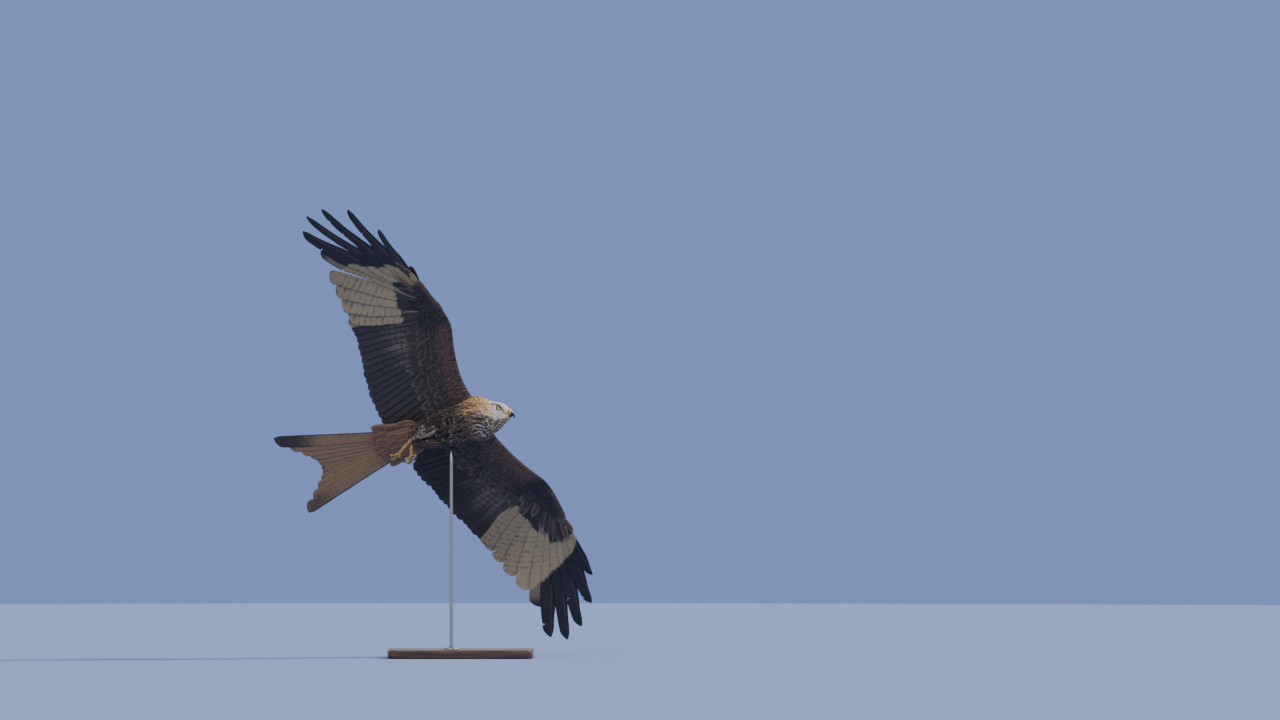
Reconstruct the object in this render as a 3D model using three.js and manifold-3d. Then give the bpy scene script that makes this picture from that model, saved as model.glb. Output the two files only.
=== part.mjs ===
// Red kite in a banked glide, life size, held by a flat base and one rod
// Millimetres, +Z up. The origin is the centre of the base's underside.
import * as THREE from 'three';
import { mergeVertices } from 'three/addons/utils/BufferGeometryUtils.js';
import Module from 'manifold-3d';

const wasm = await Module();
wasm.setup();

// Attitude of the bird: x forward, y to its left, z to its back
const SHOULDER_HEIGHT = 655;
const BODY_PLACE = new THREE.Vector3(34, -40, SHOULDER_HEIGHT);
const HEADING = -13.3;
const CLIMB = -17.5;
const BANK = -62.9;
const GAP = 0.3;

// Head
const HEAD_PLACE = new THREE.Vector3(71.2, 2.9, 11.7);
const HEAD_TURN = [50.9, -1, 27.8];
const HEAD_FRONT = 24;
const HEAD_BACK = -14.5;
const NECK_START = 26;
const EYE_RADIUS = 8;
const EYE_PLACE = [0.5, 19.4, 3.5];
const LID_OUT = 5.4;
const LID_RADIUS = 7.1;
const LID_THICKNESS = 1.65;

// Torso and tail root
const TAIL_JOINT = -180;
const TAIL_ROOT_HEIGHT = 8;
const TAIL_PITCH = 0.8;
const TAIL_ROLL = 8;
const TAIL_YAW = 0.9;
const TAIL_PAIRS = 6;
const TAIL_INNER_LENGTH = 264;
const TAIL_OUTER_LENGTH = 362;
const TAIL_COVERT_LENGTH = 112;
const TAIL_SLOPE = 0.09;

// Wing plan: x forward, y outward from the shoulder joint
const SHOULDER_SIDE = 45;
const SHOULDER_UP = 30;
const WING_SWING = 7.5;
const ELBOW = [-24, 123];
const WRIST = [52, 252];
const PRIMARIES = 10;
const SECONDARIES = 13;
const TERTIALS = 4;
const SCAPULARS = 4;
const WING_COVERTS = 12;
const COVERT_LIFT = 3.2;
const SECONDARY_SLOPE = 0.08;
const PRIMARY_SLOPE = 0.095;
const SECONDARY_OUTERMOST = 342;
const SECONDARY_PITCH = 19.6;
const TERTIAL_OUTERMOST = 86;
const TERTIAL_PITCH = 20;
const SCAPULAR_PITCH = 12;
const ALULA_FEATHERS = 3;
const WING_SHAFT = 2.8;
const TAIL_SHAFT = 2.4;
const VANE_EDGE = 0.6;
const VANE_BOW = 0.025;
const FINGER_SLOPE = -0.25;
const TWIST = 0.33;

// Legs
const LEG_SIDES = 8;
const TARSUS_RADIUS = 4.2;
const TOE_RADIUS = 3.6;
const TALON_LENGTH = 17;

// Stand
const BASE_LENGTH = 400;
const BASE_WIDTH = 320;
const BASE_THICKNESS = 24;
const BASE_CORNER = 30;
const BASE_BEVEL = 3;
const ROD_RADIUS = 4.5;
const ROD_SET_BACK = [-60, 14];
const ROD_SUNK = 12;
const COLLAR_RADIUS = 20;
const COLLAR_HEIGHT = 7;

// Small helpers
const radians = THREE.MathUtils.degToRad;
const lerp = THREE.MathUtils.lerp;

function smooth(value) {
  const t = Math.min(1, Math.max(0, value));
  return t * t * (3 - 2 * t);
}

// Value of a smooth line through [place, value] pairs
function along(pairs, place) {
  const last = pairs.length - 1;
  if (place <= pairs[0][0]) return pairs[0][1];
  if (place >= pairs[last][0]) return pairs[last][1];
  const i = pairs.findIndex((pair, k) => k < last && place < pairs[k + 1][0]);
  const slopeAt = (k) => {
    const a = pairs[Math.max(0, k - 1)];
    const b = pairs[Math.min(last, k + 1)];
    return (b[1] - a[1]) / (b[0] - a[0]);
  };
  const step = pairs[i + 1][0] - pairs[i][0];
  const t = (place - pairs[i][0]) / step;
  const rise = pairs[i + 1][1] - pairs[i][1];
  const a = slopeAt(i) * step - rise;
  const b = rise - slopeAt(i + 1) * step;
  return lerp(pairs[i][1], pairs[i + 1][1], t) + t * (1 - t) * (a * (1 - t) + b * t);
}

// Seeded draw between -1 and 1, so that like feathers differ a little
let seed = 7;
function varied() {
  seed = (seed * 16807) % 2147483647;
  return (seed / 2147483647) * 2 - 1;
}

// Closed mesh to solid and back
function solid(geometry) {
  const bare = geometry.clone();
  bare.deleteAttribute('normal');
  bare.deleteAttribute('uv');
  const merged = mergeVertices(bare, 1e-4);
  const points = merged.attributes.position.array;
  const corners = Array.from(merged.index.array);
  const a = new THREE.Vector3();
  const b = new THREE.Vector3();
  const c = new THREE.Vector3();
  const faces = [];
  let volume = 0;
  for (let i = 0; i < corners.length; i += 3) {
    const [p, q, r] = corners.slice(i, i + 3);
    if (p === q || q === r || r === p) continue;
    a.fromArray(points, 3 * p);
    b.fromArray(points, 3 * q);
    c.fromArray(points, 3 * r);
    volume += a.dot(b.cross(c));
    faces.push([p, q, r]);
  }
  const outward = volume < 0 ? faces.map((f) => [f[0], f[2], f[1]]) : faces;
  return new wasm.Manifold(new wasm.Mesh({
    numProp: 3,
    vertProperties: new Float32Array(points),
    triVerts: new Uint32Array(outward.flat()),
  }));
}

function geometryOf(body) {
  const mesh = body.getMesh();
  const geometry = new THREE.BufferGeometry();
  geometry.setAttribute('position', new THREE.BufferAttribute(mesh.vertProperties, 3));
  geometry.setIndex(new THREE.BufferAttribute(mesh.triVerts, 1));
  return geometry;
}

function union(solids) {
  return solids.reduce((whole, next) => whole.add(next));
}

// The outer surface of the largest closed piece, which fills a sealed hollow
function largest(body) {
  const size = (piece) => Math.abs(piece.volume());
  return body.decompose().sort((a, b) => size(b) - size(a))[0];
}

// A loft through rings of equally many points, closed by a fan at each end
function loft(rings) {
  const count = rings[0].length;
  const points = rings.flat();
  const faces = [];
  for (let r = 0; r + 1 < rings.length; r += 1) {
    for (let k = 0; k < count; k += 1) {
      const a = r * count + k;
      const b = r * count + ((k + 1) % count);
      faces.push(a, b, b + count, a, b + count, a + count);
    }
  }
  for (const [end, first] of [[0, true], [rings.length - 1, false]]) {
    const centre = new THREE.Vector3();
    rings[end].forEach((p) => centre.addScaledVector(p, 1 / count));
    points.push(centre);
    for (let k = 0; k < count; k += 1) {
      const a = end * count + k;
      const b = end * count + ((k + 1) % count);
      faces.push(points.length - 1, first ? b : a, first ? a : b);
    }
  }
  const geometry = new THREE.BufferGeometry();
  geometry.setFromPoints(points);
  geometry.setIndex(faces);
  return geometry;
}

// An egg-shaped ring across a frame's x axis
function ring(place, turn, sides, side, top, under) {
  return Array.from({ length: sides }, (_, k) => {
    const angle = (k / sides) * Math.PI * 2;
    const up = Math.sin(angle);
    const point = new THREE.Vector3(0, side * Math.cos(angle), (up > 0 ? top : under) * up);
    return point.applyQuaternion(turn).add(place);
  });
}

const LEVEL = new THREE.Quaternion();
const HEAD_FACING = new THREE.Quaternion().setFromEuler(
  new THREE.Euler(...HEAD_TURN.map(radians), 'ZYX'),
);

function headPoint(x, y, z) {
  return new THREE.Vector3(x, y, z).applyQuaternion(HEAD_FACING).add(HEAD_PLACE);
}

// Torso, neck and head are one loft, parted by thin plane cuts
// Each row: place, share of the head's turn, half width, height of back and of belly
const TRUNK = [
  [[TAIL_JOINT, 0, TAIL_ROOT_HEIGHT], 0, 34, 14, 17],
  [[-160, 0, 6], 0, 40, 20, 23],
  [[-130, 0, 3], 0, 46, 30, 34],
  [[-95, 0, 1], 0, 50, 40, 43],
  [[-55, 0, 0], 0, 56, 47, 50],
  [[-15, 0, 0], 0, 58, 50, 53],
  [[12, 1, 0], 0.12, 64, 50, 55],
  [[34, 2, 1], 0.35, 64, 44, 58],
  [[53, 4, 5], 0.65, 48, 34, 60],
];
const SKULL = [
  [-3, 27.5, 25, 63],
  [8, 24, 23.5, 55],
  [16, 19.5, 21.5, 45],
  [HEAD_FRONT, 14, 18, 33],
];
const TRUNK_SIDES = 24;

function trunk(grow) {
  const rings = TRUNK.map(([place, share, side, top, under], i) => {
    const turn = LEVEL.clone().slerp(HEAD_FACING, share);
    const centre = new THREE.Vector3(...place);
    if (i === 0) centre.x -= grow;
    return ring(centre, turn, TRUNK_SIDES, side + grow, top + grow, under + grow);
  });
  for (const [x, side, top, under] of SKULL) {
    const sizes = [side, top, under].map((size) => size + grow);
    rings.push(ring(headPoint(x, 0, 0), HEAD_FACING, TRUNK_SIDES, ...sizes));
  }
  return solid(loft(rings));
}

// A box that holds all on one side of a plane, for parting pieces
function halfSpace(place, turn, forward) {
  const size = 900;
  const box = new THREE.BoxGeometry(size, size, size);
  box.translate(forward * (size / 2 + GAP / 2), 0, 0);
  box.applyQuaternion(turn);
  box.translate(...place);
  return solid(box);
}

const NECK_TURN = LEVEL.clone().slerp(HEAD_FACING, 0.3);
const NECK_PLACE = new THREE.Vector3(NECK_START, 0, 0);
const HEAD_JOINT = headPoint(HEAD_BACK, 0, 0);
const JOINT_TURN = LEVEL.clone().slerp(HEAD_FACING, 0.8);

function torso() {
  return trunk(0).intersect(halfSpace(NECK_PLACE, NECK_TURN, -1));
}

function neck() {
  const front = trunk(0).intersect(halfSpace(NECK_PLACE, NECK_TURN, 1));
  return front.intersect(halfSpace(HEAD_JOINT, JOINT_TURN, -1));
}

// A ball stretched along three axes in the head's own frame
function headBall(place, sizes, tilt = 0) {
  const ball = new THREE.SphereGeometry(1, 10, 7);
  ball.scale(...sizes);
  ball.rotateY(radians(tilt));
  ball.translate(...place);
  ball.applyQuaternion(HEAD_FACING);
  ball.translate(...HEAD_PLACE);
  return solid(ball);
}

function eyeBall(side, radius) {
  const ball = new THREE.SphereGeometry(radius, 12, 8);
  ball.translate(EYE_PLACE[0], side * EYE_PLACE[1], EYE_PLACE[2]);
  ball.applyQuaternion(HEAD_FACING);
  ball.translate(...HEAD_PLACE);
  return solid(ball);
}

// The rim of feathered skin round an eye
function lidRim(side) {
  const rim = new THREE.TorusGeometry(LID_RADIUS, LID_THICKNESS, 5, 16);
  rim.scale(1, 0.86, 1);
  rim.rotateX(Math.PI / 2);
  rim.rotateZ(side * radians(-12));
  rim.translate(EYE_PLACE[0], side * (EYE_PLACE[1] + LID_OUT), EYE_PLACE[2]);
  rim.applyQuaternion(HEAD_FACING);
  rim.translate(...HEAD_PLACE);
  return solid(rim);
}

// The line of the mouth is a thin slot that runs back under the eye
function mouthSlot() {
  const length = 20;
  const slot = new THREE.BoxGeometry(length, 60, 0.7);
  slot.translate(-length / 2 + 1, 0, 0);
  slot.rotateY(radians(-12));
  slot.translate(HEAD_FRONT, 0, -5.8);
  const core = new THREE.BoxGeometry(length * 2, 15, 30);
  core.translate(HEAD_FRONT - length, 0, -5.8);
  const whole = [slot, core].map((geometry) => {
    geometry.applyQuaternion(HEAD_FACING);
    geometry.translate(...HEAD_PLACE);
    return solid(geometry);
  });
  return whole[0].subtract(whole[1]);
}

// Bill: rings across a curved middle line in the head's plane of symmetry
// Each row: forward, up, tilt of the ring, half width, half height
const UPPER_BILL = [
  [HEAD_FRONT + GAP, 4.6, 0, 11.2, 9.8],
  [30, 4, 8, 9.6, 9],
  [36, 1.6, 19, 7.5, 7.4],
  [41.4, -2.2, 38, 5.1, 5.1],
  [45.2, -6.6, 60, 3.3, 3.2],
  [47.1, -11.2, 78, 1.8, 1.7],
  [47.6, -15, 88, 0.5, 0.5],
];
const LOWER_BILL = [
  [HEAD_FRONT + GAP, -10.4, 0, 8.8, 4.1],
  [31, -10, 0, 7.0, 3.4],
  [37, -9.6, 3, 4.8, 2.3],
  [40.6, -9.7, 6, 2.4, 1.1],
];

// The feathered chin runs on under the bill: forward, up, half width, half height
const CHIN = [[18, -20, 11, 10], [24, -21, 10.5, 10], [30, -19, 8, 7], [36, -15.5, 4.5, 3.4]];

function billLoft(rows) {
  return solid(loft(rows.map(([x, z, tilt, wide, high]) => {
    const turn = new THREE.Quaternion().setFromEuler(new THREE.Euler(0, radians(tilt), 0));
    turn.premultiply(HEAD_FACING);
    return ring(headPoint(x, 0, z), turn, 12, wide, high, high);
  })));
}

function chin() {
  const wedge = loft(CHIN.map(([x, z, wide, high]) => (
    ring(headPoint(x, 0, z), HEAD_FACING, 12, wide, high, high)
  )));
  const clearance = LOWER_BILL.map(([x, z, tilt, wide, high], i) => (
    [i ? x : HEAD_FRONT, z, tilt, wide + GAP, high + GAP]
  ));
  return solid(wedge).subtract(billLoft(clearance));
}

function head() {
  let skull = trunk(0).add(chin());
  for (const side of [1, -1]) {
    const brow = headBall([4.2, side * 20.2, 12.2], [12, 4.8, 3.5], 9);
    skull = skull.add(lidRim(side)).add(brow);
  }
  for (const side of [1, -1]) {
    skull = skull.subtract(eyeBall(side, EYE_RADIUS + GAP));
  }
  return skull.subtract(mouthSlot()).intersect(halfSpace(HEAD_JOINT, JOINT_TURN, 1));
}

function upperBill() {
  let bill = billLoft(UPPER_BILL);
  for (const side of [1, -1]) {
    bill = bill.subtract(headBall([29.5, side * 8.6, 5.4], [2.2, 1.9, 1.1], 35));
  }
  return bill;
}

function lowerBill() {
  return billLoft(LOWER_BILL);
}

// Feathers
// A vane is a thin closed sheet on lines of points: leading edge, shaft if it has one, trailing edge
// Each station: share of the length, leading width, trailing width
function vane(root, tip, options) {
  const { stations, bow, slope, tipSlope = slope, free = 0, lift, shaft, place } = options;
  const start = new THREE.Vector2(...root);
  const end = new THREE.Vector2(...tip);
  const way = end.clone().sub(start);
  const length = way.length();
  const lead = new THREE.Vector2(-way.y, way.x).normalize().multiplyScalar(options.leadSide);
  const points = [];
  for (const [t, leading, trailing] of stations) {
    const bend = 4 * t * (1 - t) * bow * length;
    const turn = 4 * (1 - 2 * t) * bow;
    const middle = start.clone().addScaledVector(way, t).addScaledVector(lead, bend);
    const across = lead.clone().addScaledVector(way, -turn / length).normalize();
    const edge = VANE_EDGE / 2;
    const ridge = lerp(shaft, VANE_EDGE * 1.3, t);
    const height = lift(t);
    const tilt = lerp(slope, tipSlope, smooth((t - free) / (1 - free)));
    const rows = [[leading, edge, edge], [-trailing, edge, edge]];
    if (shaft > 0) rows.splice(1, 0, [0, ridge * 0.4, ridge * 0.6]);
    for (const [wide, over, under] of rows) {
      const p = middle.clone().addScaledVector(across, wide);
      const z = height + tilt * wide;
      points.push(place(p.x, p.y, z + over), place(p.x, p.y, z - under));
    }
  }
  const faces = [];
  const quad = (a, b, c, d) => faces.push(a, b, c, a, c, d);
  const count = points.length / stations.length;
  const strips = shaft > 0 ? [0, 2] : [0];
  for (let s = 0; s + 1 < stations.length; s += 1) {
    const a = s * count;
    const b = a + count;
    for (const k of strips) {
      quad(a + k, a + k + 2, b + k + 2, b + k);
      faces.push(a + k + 1, b + k + 3, a + k + 3, a + k + 1, b + k + 1, b + k + 3);
    }
    quad(a + 1, a, b, b + 1);
    quad(a + count - 2, a + count - 1, b + count - 1, b + count - 2);
  }
  const last = (stations.length - 1) * count;
  for (const k of strips) {
    quad(k, k + 1, k + 3, k + 2);
    quad(last + k, last + k + 2, last + k + 3, last + k + 1);
  }
  const geometry = new THREE.BufferGeometry();
  geometry.setFromPoints(points);
  geometry.setIndex(faces);
  return solid(geometry);
}

// The banking bird holds its two wings a little differently. Edges: [outward, forward].
// Feather tips: [forward, outward], from the wrist outward. Slots part the outer five.
const WINGS = {
  left: {
    side: 1,
    handSwing: 3,
    handTip: [54, 346],
    front: [
      [-30, 24], [0, 24], [60, 26], [100, 31.5], [140, 39], [180, 50],
      [215, 62], [240, 70], [265, 72], [300, 67.5], [346, 60.5], [380, 55],
    ],
    rear: [[0, -226], [60, -226], [100, -219], [150, -214], [200, -208], [250, -196], [300, -187]],
    tips: [
      [-182, 351], [-180, 395], [-173, 446], [-159, 500], [-148, 560],
      [-167, 649], [-136, 685], [-86, 677], [-28, 634], [18, 564],
    ],
    bow: 0,
    // Each finger: where its slot starts, shares of the leading and trailing widths
    fingers: [
      [0.77, 1, 1.3], [0.66, 0.95, 1.15], [0.77, 0.65, 1.1], [0.77, 0.6, 1.05], [0.85, 0.45, 0.7],
    ],
    inner: ['primary', 'primary', 'primary', 'primary', 'primary'],
  },
  right: {
    side: -1,
    handSwing: 0.6,
    handTip: [46, 346],
    front: [
      [-30, 17], [0, 16], [40, 14.5], [80, 18], [120, 28.5], [160, 42],
      [200, 58.5], [222, 62], [260, 60], [300, 54.5], [346, 48], [380, 42],
    ],
    rear: [[0, -246], [80, -246], [130, -240], [160, -233], [200, -223], [250, -209], [300, -193]],
    tips: [
      [-181, 363], [-179, 404], [-169, 451], [-158, 501], [-146, 571],
      [-156, 650], [-129, 680], [-86, 674], [-28, 634], [16, 541],
    ],
    bow: -0.03,
    fingers: [
      [0.78, 0.6, 0.95], [0.52, 0.8, 0.65], [0.57, 0.95, 0.63], [0.57, 0.85, 0.65], [0.6, 0.7, 0.5],
    ],
    inner: ['primary', 'primary', 'primary', 'aside', 'parted'],
  },
};
const CORE_REAR = [[-30, -92], [0, -88], [122, -60], [200, -22], [252, 10], [346, 24], [380, 38]];
const CORE_THICKNESS = [[-30, 40], [0, 38], [122, 29], [252, 16], [346, 7], [380, 3]];
const CORE_STATIONS = [-30, 10, 60, 110, 160, 205, 245, 280, 320, 380];
const CAMBER = 9;
const CAMBER_CHORD = 250;

// Height of the wing over its shoulder, along the span
function dihedral(y) {
  const s = Math.max(0, y);
  return 0.25 * s - 3.057e-4 * s ** 2 + 1.888e-7 * s ** 3;
}

// The outer feathers trail lower than the leading ones
function twist(x, y) {
  return -TWIST * smooth((y - 360) / 300) * Math.max(0, 30 - x);
}

// The flat plan bent into a cambered, raised wing and set on its shoulder
function wingPlace({ side, front, handSwing }) {
  return (x, y, z) => {
    const behind = Math.max(0, along(front, y) - x) / CAMBER_CHORD;
    const camber = CAMBER * 4 * behind * (1 - behind);
    const height = z + dihedral(y) + twist(x, y) + camber;
    const plan = new THREE.Vector2(x, y);
    const wrist = new THREE.Vector2(...WRIST);
    plan.rotateAround(wrist, -radians(side * handSwing) * smooth((y - 200) / 120));
    plan.rotateAround(new THREE.Vector2(), -radians(side * WING_SWING));
    return new THREE.Vector3(plan.x, side * (SHOULDER_SIDE + plan.y), SHOULDER_UP + height);
  };
}

// The arm and hand with their skin, one smooth core that the feathers root in
function wingCore(frontEdge, place) {
  const sides = 10;
  return solid(loft(CORE_STATIONS.map((y) => {
    const front = along(frontEdge, y);
    const rear = along(CORE_REAR, y);
    const thick = along(CORE_THICKNESS, y);
    return Array.from({ length: sides }, (_, k) => {
      const angle = (k / sides) * Math.PI * 2;
      const share = (1 + Math.cos(angle)) / 2;
      const taper = 0.3 + 0.7 * smooth(share * 1.3);
      const z = Math.sin(angle) * (thick / 2) * taper;
      return place(lerp(rear, front, share), y, z + thick * 0.06);
    });
  })));
}

// Roots run along the bones, tips along the trailing edge
function onBones(from, to, share) {
  return [lerp(from[0], to[0], share), lerp(from[1], to[1], share)];
}

// All flight feathers of a wing, from the outermost inward
function flightFeathers({ handTip, rear, tips, fingers, bow, inner }) {
  const list = [];
  for (let n = PRIMARIES - 1; n >= 0; n -= 1) {
    const root = onBones([WRIST[0], WRIST[1] + 6], handTip, n / (PRIMARIES - 1));
    root[0] -= 8;
    list.push({ kind: inner[n], root, tip: tips[n], finger: fingers[n - inner.length], bow });
  }
  for (let n = 0; n < SECONDARIES; n += 1) {
    const share = (n + 0.2) / SECONDARIES;
    const root = onBones([WRIST[0] - 10, WRIST[1]], [ELBOW[0] - 8, ELBOW[1]], share);
    const y = SECONDARY_OUTERMOST - n * SECONDARY_PITCH;
    list.push({ kind: 'secondary', root, tip: [along(rear, y) + 2 * varied(), y] });
  }
  for (let n = 0; n < TERTIALS; n += 1) {
    const root = [ELBOW[0] - 14 - 3 * n, ELBOW[1] - 14 - 17 * n];
    const y = TERTIAL_OUTERMOST - n * TERTIAL_PITCH;
    list.push({ kind: 'tertial', root, tip: [along(rear, y), y] });
  }
  for (let n = 0; n < SCAPULARS; n += 1) {
    const tip = [rear[0][1] + 6 + 10 * n, SCAPULAR_PITCH * (1 - n)];
    list.push({ kind: 'scapular', root: [-52, 36 - 13 * n], tip });
  }
  return list;
}

// Vane outlines: [share of the length, leading width, trailing width]
function slottedOutline([slot, leading, trailing]) {
  return [
    [0, 5, 8], [slot - 0.14, lerp(7, 13, leading), 30],
    [slot + 0.03, 11 * leading, 22 * trailing],
    [lerp(slot, 1, 0.42), 8.5 * leading, 20 * trailing],
    [lerp(slot, 1, 0.82), 7.5 * leading, 16 * trailing], [1, 1, 6 * trailing],
  ];
}
const OUTLINES = {
  primary: [[0, 2, 2.5], [0.16, 8, 15], [0.6, 14, 32], [0.93, 15, 32], [1, 9, 12]],
  // The light shows between these two
  parted: [[0, 2, 2.5], [0.16, 8, 15], [0.6, 14, 22], [0.76, 13, 26], [0.93, 12, 18], [1, 5, 5]],
  aside: [[0, 2, 2.5], [0.16, 8, 15], [0.5, 8, 30], [0.93, 8, 32], [1, 5, 12]],
  secondary: [[0, 2, 2.5], [0.2, 11, 18], [0.93, 14, 23], [1, 6, 10]],
  tertial: [[0, 2, 2.5], [0.3, 13, 20], [0.9, 14, 22], [1, 6, 9]],
  scapular: [[0, 2, 2.5], [0.35, 13, 15], [0.85, 12, 14], [1, 6, 6]],
  covert: [[0, 2, 3], [0.4, 11, 17], [0.88, 10, 15], [1, 3, 4]],
};

function wing(plan) {
  const place = wingPlace(plan);
  const feathers = flightFeathers(plan);
  const pieces = [wingCore(plan.front, place)];
  feathers.forEach(({ kind, root, tip, finger, bow = VANE_BOW }, i) => {
    const primary = i < PRIMARIES;
    const slope = primary ? PRIMARY_SLOPE : SECONDARY_SLOPE;
    pieces.push(vane(root, tip, {
      stations: finger ? slottedOutline(finger) : OUTLINES[kind],
      bow,
      slope,
      tipSlope: finger ? FINGER_SLOPE : slope,
      free: finger?.[0],
      leadSide: -1,
      shaft: primary ? WING_SHAFT : 0,
      lift: () => 0,
      place,
    }));
  });
  for (const layer of [1, -1]) {
    for (let n = 0; n < WING_COVERTS; n += 1) {
      const spot = (n / (WING_COVERTS - 1)) * (feathers.length - SCAPULARS - 1);
      const outer = feathers[Math.floor(spot)];
      const inner = feathers[Math.ceil(spot)];
      const root = onBones(outer.root, inner.root, spot % 1);
      const tip = onBones(outer.tip, inner.tip, spot % 1);
      const hand = smooth((PRIMARIES + 1 - spot) / 3);
      pieces.push(vane(root, onBones(root, tip, lerp(0.42, 0.31, hand) + 0.012 * varied()), {
        stations: OUTLINES.covert,
        bow: 0,
        slope: lerp(SECONDARY_SLOPE, PRIMARY_SLOPE, hand),
        lift: () => layer * COVERT_LIFT,
        shaft: 0,
        leadSide: -1,
        place,
      }));
    }
  }
  for (let n = 0; n < ALULA_FEATHERS; n += 1) {
    const start = [WRIST[0] + 4, WRIST[1] + 6];
    pieces.push(vane(start, [plan.handTip[0] - 14 + 6 * n, 350 - 17 * n], {
      stations: OUTLINES.covert,
      bow: 0.03,
      slope: SECONDARY_SLOPE,
      lift: (t) => lerp(5, 5.5 + 1.6 * n, t),
      shaft: 0,
      leadSide: -1,
      place,
    }));
  }
  return largest(union(pieces).subtract(trunk(GAP)));
}

// Tail: a short root that carries six pairs of feathers and their coverts
function tailPlace() {
  const turn = new THREE.Quaternion().setFromEuler(
    new THREE.Euler(radians(TAIL_ROLL), radians(TAIL_PITCH), radians(TAIL_YAW), 'ZYX'),
  );
  const joint = new THREE.Vector3(TAIL_JOINT, 0, TAIL_ROOT_HEIGHT);
  return (x, y, z) => {
    const away = Math.max(0, -x);
    const lateral = y * (1 + 0.0004 * away);
    const point = new THREE.Vector3(x, lateral, z - 2.2e-4 * y * y);
    const share = smooth(away / 60);
    return point.applyQuaternion(LEVEL.clone().slerp(turn, share)).add(joint);
  };
}

function tail() {
  const place = tailPlace();
  const rootRings = [[-GAP, 34, 14, 16], [-24, 41, 12, 14], [-50, 50, 9, 10], [-78, 52, 4, 4]];
  const pieces = [solid(loft(rootRings.map(([x, side, top, under]) => (
    ring(new THREE.Vector3(), LEVEL, 14, side, top, under).map((p) => place(x, p.y, p.z))
  ))))];
  for (const side of [1, -1]) {
    for (let n = 0; n < TAIL_PAIRS; n += 1) {
      const share = n / (TAIL_PAIRS - 1);
      const length = lerp(TAIL_INNER_LENGTH, TAIL_OUTER_LENGTH, share ** 1.9);
      const angle = radians(lerp(1.6, 14, share));
      const outer = lerp(15, 7, share);
      const inner = lerp(17, 27, share);
      const root = [-10, side * lerp(3, 27, share)];
      const tip = [-10 - length * Math.cos(angle), root[1] + side * length * Math.sin(angle)];
      const raised = n === 0 && side > 0 ? 1.2 : 0;
      pieces.push(vane(root, tip, {
        stations: [
          [0, 2, 2.5], [0.12, outer * 0.7, inner * 0.7], [0.6, outer, inner],
          [0.94, outer * 0.95, inner], [1, 2, inner * 0.45],
        ],
        bow: 0,
        slope: TAIL_SLOPE,
        lift: () => raised,
        shaft: TAIL_SHAFT,
        leadSide: -side,
        place,
      }));
    }
    for (const layer of [1, -1]) {
      for (let n = 0; n < 5; n += 1) {
        const share = n / 4;
        const root = [lerp(-6, 14, share ** 2), side * lerp(5, 40, share) - 5 * share];
        const angle = radians(lerp(3, 13, share));
        const length = TAIL_COVERT_LENGTH * lerp(1, 1.05, share) + 4 * varied();
        const tip = [root[0] - length * Math.cos(angle), root[1] + side * length * Math.sin(angle)];
        pieces.push(vane(root, tip, {
          stations: [[0, 3, 3], [0.4, 12, 14], [0.8, 11, 13], [1, 2, 3]],
          bow: 0.01,
          slope: TAIL_SLOPE,
          lift: (t) => layer * lerp(7.5, 4.2, t) * lerp(1, 0.45, share),
          shaft: 0,
          leadSide: -side,
          place,
        }));
      }
    }
  }
  return largest(union(pieces).subtract(trunk(GAP)));
}

// Legs: feathered shank, bare tarsus, then four toes with their talons, clenched
const LEGS = {
  right: { hip: [-92, -24, -24], heel: [-170, -20, -44], ankle: [-211, -4, -74] },
  left: { hip: [-90, 27, -24], heel: [-176, -6, -36], ankle: [-180, 10, -77] },
};

// Rings across a line of points, each turned square to the line
function tube(points, radii, sides) {
  const curve = new THREE.CatmullRomCurve3(points, false, 'centripetal');
  const up = new THREE.Vector3(0, 0, 1);
  return loft(radii.map((radius, k) => {
    const t = k / (radii.length - 1);
    const forward = curve.getTangentAt(t).normalize();
    const left = up.clone().cross(forward).normalize();
    const over = forward.clone().cross(left);
    const basis = new THREE.Matrix4().makeBasis(forward, left, over);
    const turn = new THREE.Quaternion().setFromRotationMatrix(basis);
    return ring(curve.getPointAt(t), turn, sides, radius, radius, radius);
  }));
}

function legPoints(name) {
  const { hip, heel, ankle } = LEGS[name];
  const [top, bend, foot] = [hip, heel, ankle].map((p) => new THREE.Vector3(...p));
  return { top, knee: top.clone().lerp(bend, 0.45), bend, foot };
}

function tarsus(name, grow) {
  const { knee, bend, foot } = legPoints(name);
  const start = bend.clone().lerp(knee, 0.5);
  const end = foot.clone().addScaledVector(foot.clone().sub(bend).normalize(), grow);
  const bone = [5, 4.6, TARSUS_RADIUS, TARSUS_RADIUS, 4.6].map((radius) => radius + grow);
  return solid(tube([start, bend, end], bone, LEG_SIDES));
}

function leg(name) {
  const { top, knee, bend } = legPoints(name);
  const shank = solid(tube([top, knee, bend], [17, 17.5, 14, 9, 5.5], LEG_SIDES + 2));
  return largest(shank.add(tarsus(name, 0)).subtract(trunk(GAP)));
}

// Toes leave the ankle backward and curl under it
function toePath(name, toe, fan, length, curl) {
  const { heel, ankle } = LEGS[name];
  const foot = new THREE.Vector3(...ankle);
  const back = foot.clone().sub(new THREE.Vector3(...heel)).normalize();
  const side = new THREE.Vector3(0, 1, 0).addScaledVector(back, -back.y).normalize();
  const down = back.clone().cross(side).normalize();
  if (down.z > 0) down.negate();
  const points = [];
  const steps = 6;
  const place = foot.clone().addScaledVector(side, fan * 3.2).addScaledVector(back, 3);
  const way = back.clone().multiplyScalar(toe === 0 ? -0.1 : 1);
  way.addScaledVector(side, fan * 0.32).addScaledVector(down, toe === 0 ? 1 : 0.25).normalize();
  const hinge = side.clone().multiplyScalar(toe === 0 ? -1 : 1);
  for (let k = 0; k <= steps; k += 1) {
    points.push(place.clone());
    place.addScaledVector(way, length / steps);
    way.applyAxisAngle(hinge, radians(curl / steps) * (k === 0 ? 0.4 : 1));
  }
  return { points, way, down, hinge };
}

// Each toe: sideways fan, length, curl
const TOES = [[0, 20, -95], [-1, 27, 150], [0, 35, 165], [1, 26, 150]];

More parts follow.
